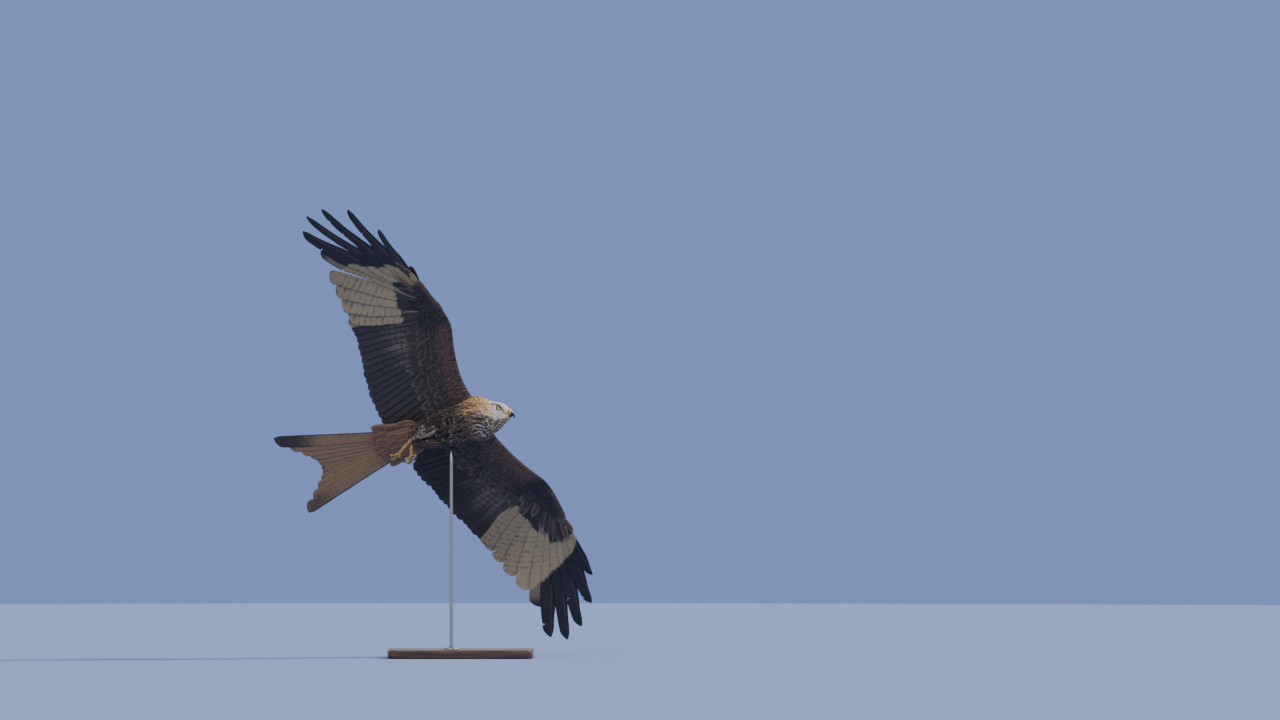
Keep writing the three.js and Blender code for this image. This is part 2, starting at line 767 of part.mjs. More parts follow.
function toesOf(name) {
  const { heel, ankle } = LEGS[name];
  const foot = new THREE.Vector3(...ankle);
  const back = foot.clone().sub(new THREE.Vector3(...heel)).normalize();
  const level = new THREE.Quaternion().setFromUnitVectors(new THREE.Vector3(1, 0, 0), back);
  const rows = [[-1, 5], [2.5, 6.4], [6, 6.6], [9, 4]];
  const palm = solid(loft(rows.map(([away, radius]) => (
    ring(foot.clone().addScaledVector(back, away), level, LEG_SIDES, radius, radius, radius)
  ))));
  const pieces = [palm];
  TOES.forEach(([fan, length, curl], toe) => {
    const { points } = toePath(name, toe, fan, length, curl);
    const radii = [0.9, 1, 0.98, 0.92, 0.86, 0.8].map((share) => share * TOE_RADIUS);
    pieces.push(solid(tube(points, radii, 7)));
  });
  return pieces;
}

function talon(name, toe, grow) {
  const [fan, length, curl] = TOES[toe];
  const { points, way, hinge } = toePath(name, toe, fan, length, curl);
  const place = points[points.length - 1].clone().addScaledVector(way, GAP - grow);
  const heading = way.clone();
  const line = [];
  const turn = radians(16) * Math.sign(curl);
  for (let k = 0; k < 5; k += 1) {
    line.push(place.clone());
    place.addScaledVector(heading, TALON_LENGTH / 4);
    heading.applyAxisAngle(hinge, turn);
  }
  const radii = [2.7, 2.3, 1.7, 1, 0.3].map((radius) => radius + grow);
  return solid(tube(line, radii, 6));
}

function foot(name) {
  let whole = union(toesOf(name)).subtract(tarsus(name, GAP));
  TOES.forEach((_, toe) => {
    whole = whole.subtract(talon(name, toe, GAP));
  });
  return largest(whole);
}

// Stand: a bevelled flat base, a collar and one upright rod
function standBase(place) {
  const half = [BASE_LENGTH / 2 - BASE_BEVEL, BASE_WIDTH / 2 - BASE_BEVEL];
  const corner = BASE_CORNER - BASE_BEVEL;
  const shape = new THREE.Shape();
  const turns = [[1, -1, -90], [1, 1, 0], [-1, 1, 90], [-1, -1, 180]];
  turns.forEach(([sx, sy, from]) => {
    const start = radians(from);
    const centre = [sx * (half[0] - corner), sy * (half[1] - corner)];
    shape.absarc(...centre, corner, start, start + Math.PI / 2, false);
  });
  const geometry = new THREE.ExtrudeGeometry(shape, {
    depth: BASE_THICKNESS - 2 * BASE_BEVEL,
    bevelThickness: BASE_BEVEL,
    bevelSize: BASE_BEVEL,
    bevelSegments: 1,
    curveSegments: 4,
  });
  geometry.translate(0, 0, BASE_BEVEL);
  const socket = new THREE.CylinderGeometry(ROD_RADIUS + GAP, ROD_RADIUS + GAP, ROD_SUNK * 2, 16);
  socket.rotateX(Math.PI / 2);
  socket.translate(place.x, place.y, BASE_THICKNESS);
  return solid(geometry).subtract(solid(socket));
}

function standCollar(place) {
  const inner = ROD_RADIUS + GAP;
  const profile = [
    [inner, 0], [COLLAR_RADIUS, 0], [COLLAR_RADIUS, 2.4], [COLLAR_RADIUS - 1.6, 4],
    [inner + 4, 4.8], [inner + 2.4, COLLAR_HEIGHT], [inner, COLLAR_HEIGHT], [inner, 0],
  ].map(([r, z]) => new THREE.Vector2(r, z));
  const geometry = new THREE.LatheGeometry(profile, 16);
  geometry.rotateX(Math.PI / 2);
  geometry.translate(place.x, place.y, BASE_THICKNESS + GAP);
  return solid(geometry);
}

function standRod(place, body) {
  const low = BASE_THICKNESS - ROD_SUNK + GAP;
  const high = SHOULDER_HEIGHT;
  const rod = new THREE.CylinderGeometry(ROD_RADIUS, ROD_RADIUS, high - low, 16);
  rod.rotateX(Math.PI / 2);
  rod.translate(place.x, place.y, (high + low) / 2);
  const inBird = new THREE.Matrix4().copy(body.matrix).invert();
  rod.applyMatrix4(inBird);
  const geometry = geometryOf(largest(solid(rod).subtract(trunk(GAP))));
  geometry.applyMatrix4(body.matrix);
  return geometry;
}

// Materials
function finish(color, roughness, metalness = 0) {
  return new THREE.MeshStandardMaterial({ color, roughness, metalness });
}
const PLUMAGE_BROWN = [0x4a352c, 0.85];
const PLUMAGE_RUFOUS = [0x8a5a3c, 0.85];
const PLUMAGE_GREY = [0xb9b6ab, 0.85];
const WING_BROWN = [0x3a302c, 0.8];
const TAIL_RUFOUS = [0x9c7a66, 0.8];
const SKIN_YELLOW = [0xd0a040, 0.6];
const HORN_BLACK = [0x1c1a1b, 0.35];
const IRIS = [0xd8cf9a, 0.15];
const BASE_WOOD = [0x4b3021, 0.45];
const ROD_STEEL = [0xa8a9ac, 0.3, 1];

// Assembly
const model = new THREE.Group();
const bird = new THREE.Group();
bird.position.copy(BODY_PLACE);
bird.rotation.set(radians(BANK), radians(CLIMB), radians(HEADING), 'ZYX');
bird.updateMatrix();
model.add(bird);

function add(parent, name, geometry, look) {
  const mesh = new THREE.Mesh(geometry, finish(...look));
  mesh.name = name;
  parent.add(mesh);
}

add(bird, 'torso', geometryOf(torso()), PLUMAGE_BROWN);
add(bird, 'neck', geometryOf(neck()), PLUMAGE_RUFOUS);
add(bird, 'head', geometryOf(largest(head())), PLUMAGE_GREY);
add(bird, 'bill_upper', geometryOf(upperBill()), HORN_BLACK);
add(bird, 'bill_lower', geometryOf(lowerBill()), HORN_BLACK);
add(bird, 'tail', geometryOf(tail()), TAIL_RUFOUS);
for (const [name, side] of [['left', 1], ['right', -1]]) {
  add(bird, `eye_${name}`, geometryOf(eyeBall(side, EYE_RADIUS)), IRIS);
  add(bird, `wing_${name}`, geometryOf(wing(WINGS[name])), WING_BROWN);
  add(bird, `leg_${name}`, geometryOf(leg(name)), SKIN_YELLOW);
  add(bird, `foot_${name}`, geometryOf(foot(name)), SKIN_YELLOW);
  TOES.forEach((_, toe) => {
    add(bird, `talon_${name}_${toe + 1}`, geometryOf(talon(name, toe, 0)), HORN_BLACK);
  });
}

const rodPlace = new THREE.Vector2(BODY_PLACE.x + ROD_SET_BACK[0], BODY_PLACE.y + ROD_SET_BACK[1]);
add(model, 'stand_base', geometryOf(standBase(rodPlace)), BASE_WOOD);
add(model, 'stand_collar', geometryOf(standCollar(rodPlace)), ROD_STEEL);
add(model, 'stand_rod', standRod(rodPlace, bird), ROD_STEEL);

export default model;
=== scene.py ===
import bpy
import numpy as np
from bpy.props import FloatProperty, FloatVectorProperty, IntProperty, PointerProperty
from mathutils import Matrix, Quaternion, Vector


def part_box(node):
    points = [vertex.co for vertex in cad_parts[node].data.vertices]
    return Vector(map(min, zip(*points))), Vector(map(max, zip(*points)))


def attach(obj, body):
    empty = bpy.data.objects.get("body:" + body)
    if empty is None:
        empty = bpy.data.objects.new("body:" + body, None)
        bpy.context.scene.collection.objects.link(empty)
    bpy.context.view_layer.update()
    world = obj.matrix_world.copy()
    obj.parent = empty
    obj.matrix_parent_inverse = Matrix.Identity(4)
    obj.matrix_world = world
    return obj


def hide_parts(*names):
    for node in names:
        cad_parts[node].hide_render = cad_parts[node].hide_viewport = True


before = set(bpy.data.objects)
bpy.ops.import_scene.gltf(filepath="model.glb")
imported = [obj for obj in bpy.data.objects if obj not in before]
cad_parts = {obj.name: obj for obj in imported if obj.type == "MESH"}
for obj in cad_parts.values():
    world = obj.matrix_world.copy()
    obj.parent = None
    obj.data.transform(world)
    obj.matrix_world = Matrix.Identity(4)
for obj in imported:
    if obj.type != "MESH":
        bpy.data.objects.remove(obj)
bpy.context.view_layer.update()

bl_info = {
    "name": "Red kite in a banked glide",
    "version": (1, 0, 0),
    "blender": (4, 5, 0),
    "location": "3D View > Sidebar > Kite",
    "description": "Builds the plumage, head, feet and stand of a life-size red kite",
    "category": "Object",
}

MM = 0.001
BODY = "root"


def linear(code):
    """Linear red, green and blue of a six-digit hex colour."""
    parts = [int(code[i : i + 2], 16) / 255 for i in (0, 2, 4)]
    return tuple(c / 12.92 if c <= 0.04045 else ((c + 0.055) / 1.055) ** 2.4 for c in parts)


def shade(code):
    """The same, to calculate with."""
    return np.array(linear(code))


def circle(count):
    """Angles once round, evenly spaced."""
    return np.linspace(0, 2 * np.pi, count, endpoint=False)


def round_share(angle):
    """Share of a full turn, from 0 to 1."""
    return np.mod(angle, 2 * np.pi) / (2 * np.pi)


# Attitude of the bird, in millimetres: x forward, y to its left, z to its back
BODY_PLACE = np.array([34.0, -40.0, 655.0])
HEAD_PLACE = np.array([71.2, 2.9, 11.7])
HEAD_FRONT = 24.0
EYE_PLACE = np.array([0.5, 19.4, 3.5])
EYE_RADIUS = 8.0


def rotation(x, y, z):
    """Turn about x, then y, then z, in degrees."""
    turns = [Matrix.Rotation(np.radians(a), 3, axis) for a, axis in ((z, "Z"), (y, "Y"), (x, "X"))]
    return np.array(turns[0] @ turns[1] @ turns[2])


BIRD_TURN = rotation(-62.9, -17.5, -13.3)
HEAD_TURN = rotation(50.9, -1.0, 27.8)


def to_world(points):
    """Bird millimetres to metres in the row frame."""
    return (np.asarray(points) @ BIRD_TURN.T + BODY_PLACE) * MM


def head_point(x, y, z):
    return HEAD_PLACE + HEAD_TURN @ np.array([x, y, z], float)


def mix(a, b, t):
    return a + (b - a) * t


def smooth(t):
    t = np.clip(t, 0, 1)
    return t * t * (3 - 2 * t)


def unit(v):
    return v / np.maximum(np.linalg.norm(v, axis=-1, keepdims=True), 1e-9)


def lookup(rows):
    """A smooth line through rows of place and values."""
    rows = np.asarray(rows, float)
    x, y = rows[:, 0], rows[:, 1:]
    last = len(x) - 1
    low = np.maximum(np.arange(last + 1) - 1, 0)
    high = np.minimum(np.arange(last + 1) + 1, last)
    slope = (y[high] - y[low]) / (x[high] - x[low])[:, None]

    def at(place):
        q = np.clip(np.asarray(place, float), x[0], x[-1])
        i = np.clip(np.searchsorted(x, q, side="right") - 1, 0, last - 1)
        step = (x[i + 1] - x[i])[..., None]
        t = (q - x[i])[..., None] / step
        rise = y[i + 1] - y[i]
        a, b = slope[i] * step - rise, rise - slope[i + 1] * step
        found = mix(y[i], y[i + 1], t) + t * (1 - t) * (a * (1 - t) + b * t)
        return found[..., 0] if y.shape[1] == 1 else found

    return at


def ramp(*stops):
    """Colours that change evenly from stop to stop, each a place and a hex colour."""
    places = [place for place, _ in stops]
    colours = np.array([linear(code) for _, code in stops])

    def at(place):
        return np.stack([np.interp(place, places, colours[:, k]) for k in range(3)], axis=-1)

    return at


# The most that any part of a feather's colour may reach
BRIGHTEST = 0.84


def in_range(colours):
    """Colours dimmed where their brightest part is over the most."""
    return colours * np.minimum(1, BRIGHTEST / np.maximum(colours.max(axis=-1, keepdims=True), 1e-6))


# Meshes
def new_mesh(name, points, faces, colours=None, uvs=None, smooth_faces=True):
    """A mesh of bird-frame points. Faces are arrays of equal corner counts."""
    mesh = bpy.data.meshes.new(name)
    world = to_world(points).astype(np.float32)
    faces = [np.asarray(f, np.int32) for f in faces if len(f)]
    corners = np.concatenate([f.ravel() for f in faces])
    totals = np.concatenate([np.full(len(f), f.shape[1], np.int32) for f in faces])
    mesh.vertices.add(len(world))
    mesh.vertices.foreach_set("co", world.ravel())
    mesh.loops.add(len(corners))
    mesh.loops.foreach_set("vertex_index", corners)
    mesh.polygons.add(len(totals))
    starts = np.concatenate([[0], np.cumsum(totals)[:-1]])
    mesh.polygons.foreach_set("loop_start", starts.astype(np.int32))
    mesh.polygons.foreach_set("loop_total", totals)
    mesh.polygons.foreach_set("use_smooth", np.full(len(totals), smooth_faces))
    for key, values in (colours or {}).items():
        values = np.asarray(values, np.float32)
        if values.ndim == 1:
            mesh.attributes.new(key, "FLOAT", "POINT").data.foreach_set("value", values)
        else:
            full = np.concatenate([values, np.ones((len(values), 1), np.float32)], axis=1)
            mesh.attributes.new(key, "FLOAT_COLOR", "POINT").data.foreach_set("color", full.ravel())
    for key, values in (uvs or {}).items():
        layer = mesh.uv_layers.new(name=key)
        layer.data.foreach_set("uv", np.asarray(values, np.float32)[corners].ravel())
    mesh.update(calc_edges=True)
    return mesh


def piece_of(mesh, look, slot):
    """The object of a finished mesh, under the mesh's name."""
    piece = bpy.data.objects.new(mesh.name, mesh)
    bpy.context.scene.collection.objects.link(piece)
    mesh.materials.append(look)
    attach(piece, BODY)
    return piece


def mesh_piece(name, points, faces, look, slot, colours=None, uvs=None, smooth_faces=True):
    """An object of bird-frame points with its material. The slot is not used."""
    return piece_of(new_mesh(name, points, faces, colours, uvs, smooth_faces), look, slot)


def united(name, meshes):
    """One closed mesh from closed meshes that overlap."""
    parts = [bpy.data.objects.new("Part", mesh) for mesh in meshes]
    for part in parts:
        bpy.context.scene.collection.objects.link(part)
    for other in parts[1:]:
        union = parts[0].modifiers.new("Union", "BOOLEAN")
        union.operation, union.solver, union.object = "UNION", "MANIFOLD", other
    bpy.context.view_layer.update()
    graph = bpy.context.evaluated_depsgraph_get()
    whole = bpy.data.meshes.new_from_object(
        parts[0].evaluated_get(graph), preserve_all_data_layers=True, depsgraph=graph
    )
    for part, mesh in zip(parts, meshes):
        bpy.data.objects.remove(part)
        bpy.data.meshes.remove(mesh)
    whole.name = name
    whole.materials.clear()
    whole.polygons.foreach_set("material_index", np.zeros(len(whole.polygons), np.int32))
    return whole


def grid_faces(rows, columns, closed=False, flip=False):
    """Quads of a grid of points, with its columns joined in a ring if closed."""
    i, j = np.meshgrid(np.arange(rows - 1), np.arange(columns if closed else columns - 1), indexing="ij")
    a, b = i * columns + j, i * columns + (j + 1) % columns
    quads = np.stack([a, a + columns, b + columns, b], axis=-1).reshape(-1, 4)
    return quads[:, ::-1] if flip else quads


def tube_piece(rings):
    """Points and faces of rings joined in a row, shape (rows, columns, 3), with a fan at each end."""
    rows, columns = rings.shape[:2]
    points = rings.reshape(-1, 3)
    quads = grid_faces(rows, columns, closed=True)
    points = np.concatenate([points, rings[:1].mean(1), rings[-1:].mean(1)])
    j = np.arange(columns)
    k = (j + 1) % columns
    first = np.stack([np.full(columns, len(points) - 2), j, k], axis=-1)
    base = (rows - 1) * columns
    last = np.stack([np.full(columns, len(points) - 1), base + k, base + j], axis=-1)
    return points, [quads, np.concatenate([first, last])]


def turned_over(faces):
    """The same faces with their other side out."""
    return [f[:, ::-1] for f in faces]


def enclosed(points, faces):
    """Volume inside closed faces, below zero if they face inward."""
    total = 0.0
    for f in faces:
        for k in range(1, f.shape[1] - 1):
            normals = np.cross(points[f[:, k]], points[f[:, k + 1]])
            total += np.einsum("ij,ij->", points[f[:, 0]], normals) / 6
    return total


def joined(parts):
    """One list of points and faces from several."""
    points, faces, start = [], {}, 0
    for part_points, part_faces in parts:
        points.append(part_points)
        for f in part_faces:
            faces.setdefault(f.shape[1], []).append(f + start)
        start += len(part_points)
    return np.concatenate(points), [np.concatenate(f) for f in faces.values()]


def rings_along(line, radii, columns, up=(0, 0, 1)):
    """Round rings across a line of points."""
    line = np.asarray(line, float)
    way = unit(np.gradient(line, axis=0))
    left = unit(np.cross(np.asarray(up, float), way))
    over = np.cross(way, left)
    angle = circle(columns)
    round_ = left[:, None] * np.cos(angle)[None, :, None] + over[:, None] * np.sin(angle)[None, :, None]
    radii = np.asarray(radii, float)
    radii = radii[:, None, None] if radii.ndim == 1 else radii[..., None]
    return line[:, None] + round_ * radii


# Torso, neck and head are one closed surface. Each row of the trunk has its place, its share of the
# head's turn, its half width and its heights above and below. The skull's rows have the place forward
# in the head's frame and the same three sizes; the last three taper the face onto the bill.
TAIL_JOINT = -180.0
TAIL_ROOT_HEIGHT = 8.0
TRUNK = [
    [(TAIL_JOINT, 0, TAIL_ROOT_HEIGHT), 0, 34, 14, 17],
    [(-160, 0, 6), 0, 40, 20, 23],
    [(-130, 0, 3), 0, 46, 30, 34],
    [(-95, 0, 1), 0, 50, 40, 43],
    [(-55, 0, 0), 0, 56, 47, 50],
    [(-15, 0, 0), 0, 58, 50, 53],
    [(12, 1, 0), 0.12, 64, 50, 55],
    [(34, 2, 1), 0.35, 64, 44, 58],
    [(53, 4, 5), 0.65, 48, 34, 60],
]
SKULL = [
    [-3, 27.5, 25, 63], [8, 24, 23.5, 55], [16, 19.5, 21.5, 45], [22.5, 14.8, 18.6, 34.5],
    [HEAD_FRONT + 2.6, 12.3, 15.6, 19], [HEAD_FRONT + 3.8, 11.2, 13.6, 14.5],
]
# The feathered chin under the bill: forward, up, half width, half height
CHIN = [
    [15, -22, 13.5, 13], [21, -22, 12.5, 12.2], [27, -19.6, 9.6, 9], [32.5, -16.6, 6, 5.6],
    [37.5, -13.2, 2.6, 1.8],
]
# Millimetres between the rows of the body's surface, and its points round a row
ROW_STEP = 1.0
ROUND = 240


def in_head(points):
    """Points in the head's own frame."""
    return (points - HEAD_PLACE) @ HEAD_TURN


def head_relief(q):
    """How far the skin of the head stands out, at points in the head's frame."""
    side = np.abs(q[..., 1])

    def bump(x, y, z, spread, high):
        away = (q[..., 0] - x) ** 2 + (side - y) ** 2 + (q[..., 2] - z) ** 2
        return high * np.exp(-away / (2 * spread**2))

    brow = sum(bump(x, 20.5 - 0.012 * (x - 2) ** 2, 11.5 + 0.05 * x, 3.2, 1.1) for x in (-7, -2, 3, 8, 13))
    socket = bump(EYE_PLACE[0], 25, EYE_PLACE[2], 5.2, -2.4)
    lores = bump(15, 17, 1, 5, -1.3)
    cheek = bump(-5, 23, -9, 7, 1.2)
    low = q[..., 2] - (-5.8 - 0.21 * (HEAD_FRONT - q[..., 0]))
    mouth = -0.9 * np.exp(-((low / 0.9) ** 2)) * smooth((q[..., 0] - 2) / 6) * (side > 6)
    return brow + socket + lores + cheek + mouth


class Trunk:
    """The surface of torso, neck and head: v runs from tail root to bill, a goes round from the left."""

    def __init__(self):
        places = [np.array(row[0], float) for row in TRUNK] + [head_point(row[0], 0, 0) for row in SKULL]
        sizes = [row[1:] for row in TRUNK] + [[1, *row[1:]] for row in SKULL]
        steps = [np.linalg.norm(b - a) for a, b in zip(places, places[1:])]
        keys = np.concatenate([[0], np.cumsum(steps)])
        self.length = keys[-1]
        read = lookup([[k, *p, *s] for k, p, s in zip(keys, places, sizes)])
        rows = int(self.length / ROW_STEP) + 1
        self.step = self.length / (rows - 1)
        found = read(np.linspace(0, self.length, rows))
        head = Matrix(HEAD_TURN.tolist()).to_quaternion()
        shares = np.clip(found[:, 3], 0, 1)
        turns = np.array([Quaternion().slerp(head, s).to_matrix() for s in shares])
        angle = circle(ROUND)
        up = np.sin(angle)[None]
        high = np.where(up > 0, found[:, 5:6], found[:, 6:7]) * up
        wide = found[:, 4:5] * np.cos(angle)[None]
        flat = np.stack([np.zeros_like(wide), wide, high], axis=-1)
        self.points = found[:, None, :3] + np.einsum("rij,rcj->rci", turns, flat)
        self.measure()
        relief = head_relief(in_head(self.points)) * smooth((shares[:, None] - 0.4) / 0.5)
        self.points = self.points + self.normals * relief[..., None]
        self.measure()

    def measure(self):
        along = np.gradient(self.points, self.step, axis=0)
        turn = 2 * np.pi / ROUND
        around = (np.roll(self.points, -1, axis=1) - np.roll(self.points, 1, axis=1)) / (2 * turn)
        self.normals = unit(np.cross(around, along))
        self.stretch = np.stack([np.linalg.norm(along, axis=-1), np.linalg.norm(around, axis=-1)], axis=-1)

    def read(self, grid, v, a):
        i = np.clip(v / self.step, 0, len(grid) - 1.001)
        j = np.mod(a, 2 * np.pi) / (2 * np.pi) * ROUND
        i0, j0 = i.astype(int), j.astype(int) % ROUND
        j1 = (j0 + 1) % ROUND
        ti, tj = (i - i0)[..., None], (j - np.floor(j))[..., None]
        return mix(mix(grid[i0, j0], grid[i0, j1], tj), mix(grid[i0 + 1, j0], grid[i0 + 1, j1], tj), ti)

    def at(self, v, a, height):
        """Points at a height over the surface. Past its ends the surface runs on straight."""
        v, a = np.broadcast_arrays(v, a)
        points = self.read(self.points, v, a)
        normals = unit(self.read(self.normals, v, a))
        over = v - np.clip(v, 0, self.length)
        ends = unit(self.points[[1, -1]] - self.points[[0, -2]])
        column = (np.mod(a, 2 * np.pi) / (2 * np.pi) * ROUND).astype(int) % ROUND
        way = np.where((over < 0)[..., None], ends[0][column], ends[1][column])
        return points + normals * np.asarray(height)[..., None] + way * over[..., None]


def chin_at(x, a, height):
    """Points at a height over the chin, by place forward and angle round."""
    rise, wide, high = np.moveaxis(lookup(CHIN)(x), -1, 0)
    nose = np.sqrt(np.clip((CHIN[-1][0] + 1 - x) / 3, 0.02, 1))
    across, up = (wide * nose + height) * np.cos(a), (high * nose + height) * np.sin(a)
    flat = np.stack([x, across, rise + up], axis=-1)
    return HEAD_PLACE + flat @ HEAD_TURN.T


BODY_SURFACE = Trunk()
COAT_DEPTH = lookup([[0, 0.8], [14, 1.3], [30, 1.8], [45, 3], [70, 4.5], [140, 6], [240, 5], [300, 4]])


# Small feathers: leaf-shaped, closed, on a surface that they follow
LEAVES = {
    "contour": ([0.1, 0.3, 0.55, 0.78, 0.93], [0.34, 0.8, 1.0, 0.9, 0.52]),
    "hackle": ([0.1, 0.3, 0.56, 0.8, 0.94], [0.5, 0.95, 1.0, 0.62, 0.27]),
    "tiny": ([0.15, 0.5, 0.85], [0.7, 1.0, 0.6]),
    "covert": ([0.08, 0.25, 0.5, 0.7, 0.84, 0.93, 0.98], [0.3, 0.72, 0.95, 1.0, 0.92, 0.68, 0.36]),
}
ACROSS = np.array([-1, -0.55, 0, 0.55, 1])
LEAF_THICKNESS = 0.14


def leaf_faces(stations):
    """Faces of one leaf: a root, a tip, five columns above and one below."""
    n, m = stations, len(ACROSS)
    top = 1
    under = 1 + n * m
    tip = under + n
    quads, tris = [], []
    for i in range(n - 1):
        a, b = top + i * m, top + (i + 1) * m
        quads += [[a + j, b + j, b + j + 1, a + j + 1] for j in range(m - 1)]
        quads += [[a, under + i, under + i + 1, b], [under + i, a + m - 1, b + m - 1, under + i + 1]]
    a, b = top, top + (n - 1) * m
    for j in range(m - 1):
        tris += [[0, a + j, a + j + 1], [tip, b + j + 1, b + j]]
    tris += [[0, under, a], [0, a + m - 1, under]]
    tris += [[tip, b, under + n - 1], [tip, under + n - 1, b + m - 1]]
    return np.array(quads), np.array(tris)


def leaves(kind, surface, spots):
    """Points, faces and maps of many small feathers.

    spots holds, for each feather, root (2), along and across (2 each, map units a millimetre),
    length, width, low and high (heights of root and tip), cup, bend and bake (2). With flip set,
    the faces are turned over.
    """
    along, widths = (np.array(x) for x in LEAVES[kind])
    n, m, count = len(along), len(ACROSS), len(spots["length"])
    s = np.concatenate([[0], np.repeat(along, m), along, [1]])
    t = np.concatenate([[0], np.tile(ACROSS, n), np.zeros(n), [0]])
    w = np.concatenate([[0], np.repeat(widths, m), widths, [0]])
    below = np.concatenate([[0], np.zeros(n * m), np.ones(n), [0]])
    length, width = spots["length"][:, None], spots["width"][:, None]
    forth = s * length
    aside = t * w * width / 2 + spots["bend"][:, None] * length * s * s
    place = [
        spots["root"][:, k, None] + spots["along"][:, k, None] * forth + spots["across"][:, k, None] * aside
        for k in (0, 1)
    ]
    low, high = spots["low"][:, None], spots["high"][:, None]
    height = mix(low, high, s**0.8) - spots["cup"][:, None] * (t * w) ** 2 * width - below * LEAF_THICKNESS
    points = surface(place[0], place[1], height).reshape(-1, 3)
    quads, tris = leaf_faces(n)
    size = len(s)
    start = (np.arange(count) * size)[:, None, None]
    faces = [(quads[None] + start).reshape(-1, 4), (tris[None] + start).reshape(-1, 3)]
    if spots.get("flip"):
        faces = turned_over(faces)
    vane = np.tile(np.stack([0.5 + 0.5 * t, s], axis=-1), (count, 1))
    patch = np.stack([t, 2 * s - 1], axis=-1) * 0.0015
    bake = (spots["bake"][:, None] + patch[None]).reshape(-1, 2)
    return points, faces, {"Vane": vane, "OFBake": bake}, size


def leaf_piece(name, groups, material, slot):
    """One object from several groups of leaves, each with a colour for its middle and its rim."""
    parts, fields = [], {key: [] for key in ("core", "rim", "streak")}
    uvs = {"Vane": [], "OFBake": []}
    for kind, surface, spots in groups:
        points, faces, maps, size = leaves(kind, surface, spots)
        parts.append((points, faces))
        for key, rows in uvs.items():
            rows.append(maps[key])
        for key, rows in fields.items():
            rows.append(np.repeat(spots[key], size, axis=0))
    points, faces = joined(parts)
    colours = {key: np.concatenate(rows) for key, rows in fields.items()}
    uvs = {key: np.clip(np.concatenate(rows), 0, 1) for key, rows in uvs.items()}
    return mesh_piece(name, points, faces, material, slot, colours, uvs)


# Plumage colours over the body, by the distance back from the bill
CROWN_CORE = ramp(
    (0, "b3b2b0"), (14, "95979c"), (36, "7b7c80"), (48, "553d2b"), (78, "4b3526"), (104, "33251e"),
)
CROWN_RIM = ramp(
    (0, "efece2"), (14, "e9eaed"), (38, "dcdcdd"), (48, "f9d2a2"), (78, "dbab78"), (104, "7d6048"),
)
FACE_CORE = ramp(
    (0, "b9a276"), (8, "b8ae9c"), (20, "b3aca2"), (38, "a39b92"), (48, "5c402b"), (78, "4b3627"),
    (104, "2e2320"),
)
FACE_RIM = ramp(
    (0, "e6d3a4"), (8, "e8dfcd"), (20, "e6e0d6"), (38, "e0dad0"), (48, "ffd6a2"), (78, "e8b682"),
    (104, "765d4b"),
)
# Throat and foreneck: the bird's own streaks, with the whole painted darker as shade on the underside of head
# and neck
SHADED_THROAT_CORE = ramp((0, "4a4540"), (14, "3a3532"), (50, "332d2b"), (80, "2f2725"), (125, "282021"))
SHADED_THROAT_RIM = ramp((0, "8f877c"), (14, "7d766c"), (50, "786c60"), (80, "77604f"), (125, "5c4b41"))
BELLY_CORE = ramp((100, "2a2223"), (150, "211b1d"), (190, "231d1f"), (230, "3a2f2e"), (290, "59453c"))
BELLY_RIM = ramp((100, "66544a"), (150, "42373a"), (190, "40363a"), (230, "594944"), (290, "735a4e"))
BACK_CORE = ramp((70, "33251e"), (130, "2e231f"), (210, "36281f"), (240, "4c3427"), (290, "5c3a28"))
BACK_RIM = ramp((70, "84664b"), (130, "6c5443"), (210, "6c5341"), (240, "8a5c40"), (290, "9a6644"))
PALE_STREAK, THROAT_STREAK = shade("8f7b66"), shade("b9afa2")
# Whitish down, and the dark of the lores and of the feathers by the eye, which also paints the shadow under the
# brow ridge
DOWN_WHITE, EYE_DARK_AND_BROW_SHADOW = shade("cdbcab"), shade("1d1918")


def shaded_throat_share(q):
    """1 on the streaked throat, painted darker as shade under the head, 0 on the pale cheek, at points in the
    head's frame.
    """
    limit = -16 - 0.44 * np.clip(30 - q[..., 0], 0, 32)
    return smooth((limit - q[..., 2]) / 6 + 0.5)


def strands(q):
    """Light and dark strands, 7 mm apart, that run along neck and breast."""
    x, y, z = np.moveaxis(q, -1, 0)
    return np.sin(0.82 * y + 2.6 * np.sin(0.12 * x)) + np.sin(0.9 * z + 2.2 * np.sin(0.1 * x + 1))


def plumage(front, a, q):
    """Middle and rim colours of the body's plumage, with painted shade under the brow ridge and under the head.
    """
    top, under = smooth((np.sin(a) - 0.15) / 0.4), shaded_throat_share(q)
    found = []
    for crown, face, throat, belly, back in (
        (CROWN_CORE, FACE_CORE, SHADED_THROAT_CORE, BELLY_CORE, BACK_CORE),
        (CROWN_RIM, FACE_RIM, SHADED_THROAT_RIM, BELLY_RIM, BACK_RIM),
    ):
        head = mix(mix(face(front), crown(front), top[..., None]), throat(front), under[..., None])
        upper = smooth((np.sin(a) + 0.25) / 0.3)[..., None]
        torso = mix(belly(front), back(front), upper)
        found.append(mix(head, torso, smooth((front - 82) / 34)[..., None]))
    # Dark feathers round the eye: ring is painted shadow of the brow ridge over and before the eye, running
    # into the lores; behind and lores are the bird's own dark feathers
    x, z = q[..., 0] - EYE_PLACE[0], q[..., 2] - EYE_PLACE[2]
    away, turn = np.hypot(x, z), np.arctan2(z, x)
    ring = np.exp(-(((away - 9.8) / 2.8) ** 2)) * np.clip(0.4 + 1.0 * np.cos(turn - 1.2), 0, 1)
    behind = np.exp(-(((x + 12) / 5.5) ** 2) - ((z - 3) / 2.6) ** 2)
    along, off = (x - 15) * 0.69 - (z + 2) * 0.72, (x - 15) * 0.72 + (z + 2) * 0.69
    lores = np.exp(-((along / 9) ** 2) - (off / 2.9) ** 2)
    dark = np.clip(ring + 0.7 * behind + lores, 0, 0.97) * (np.abs(q[..., 1]) > 8)
    return [mix(colour, EYE_DARK_AND_BROW_SHADOW, dark[..., None]) for colour in found]


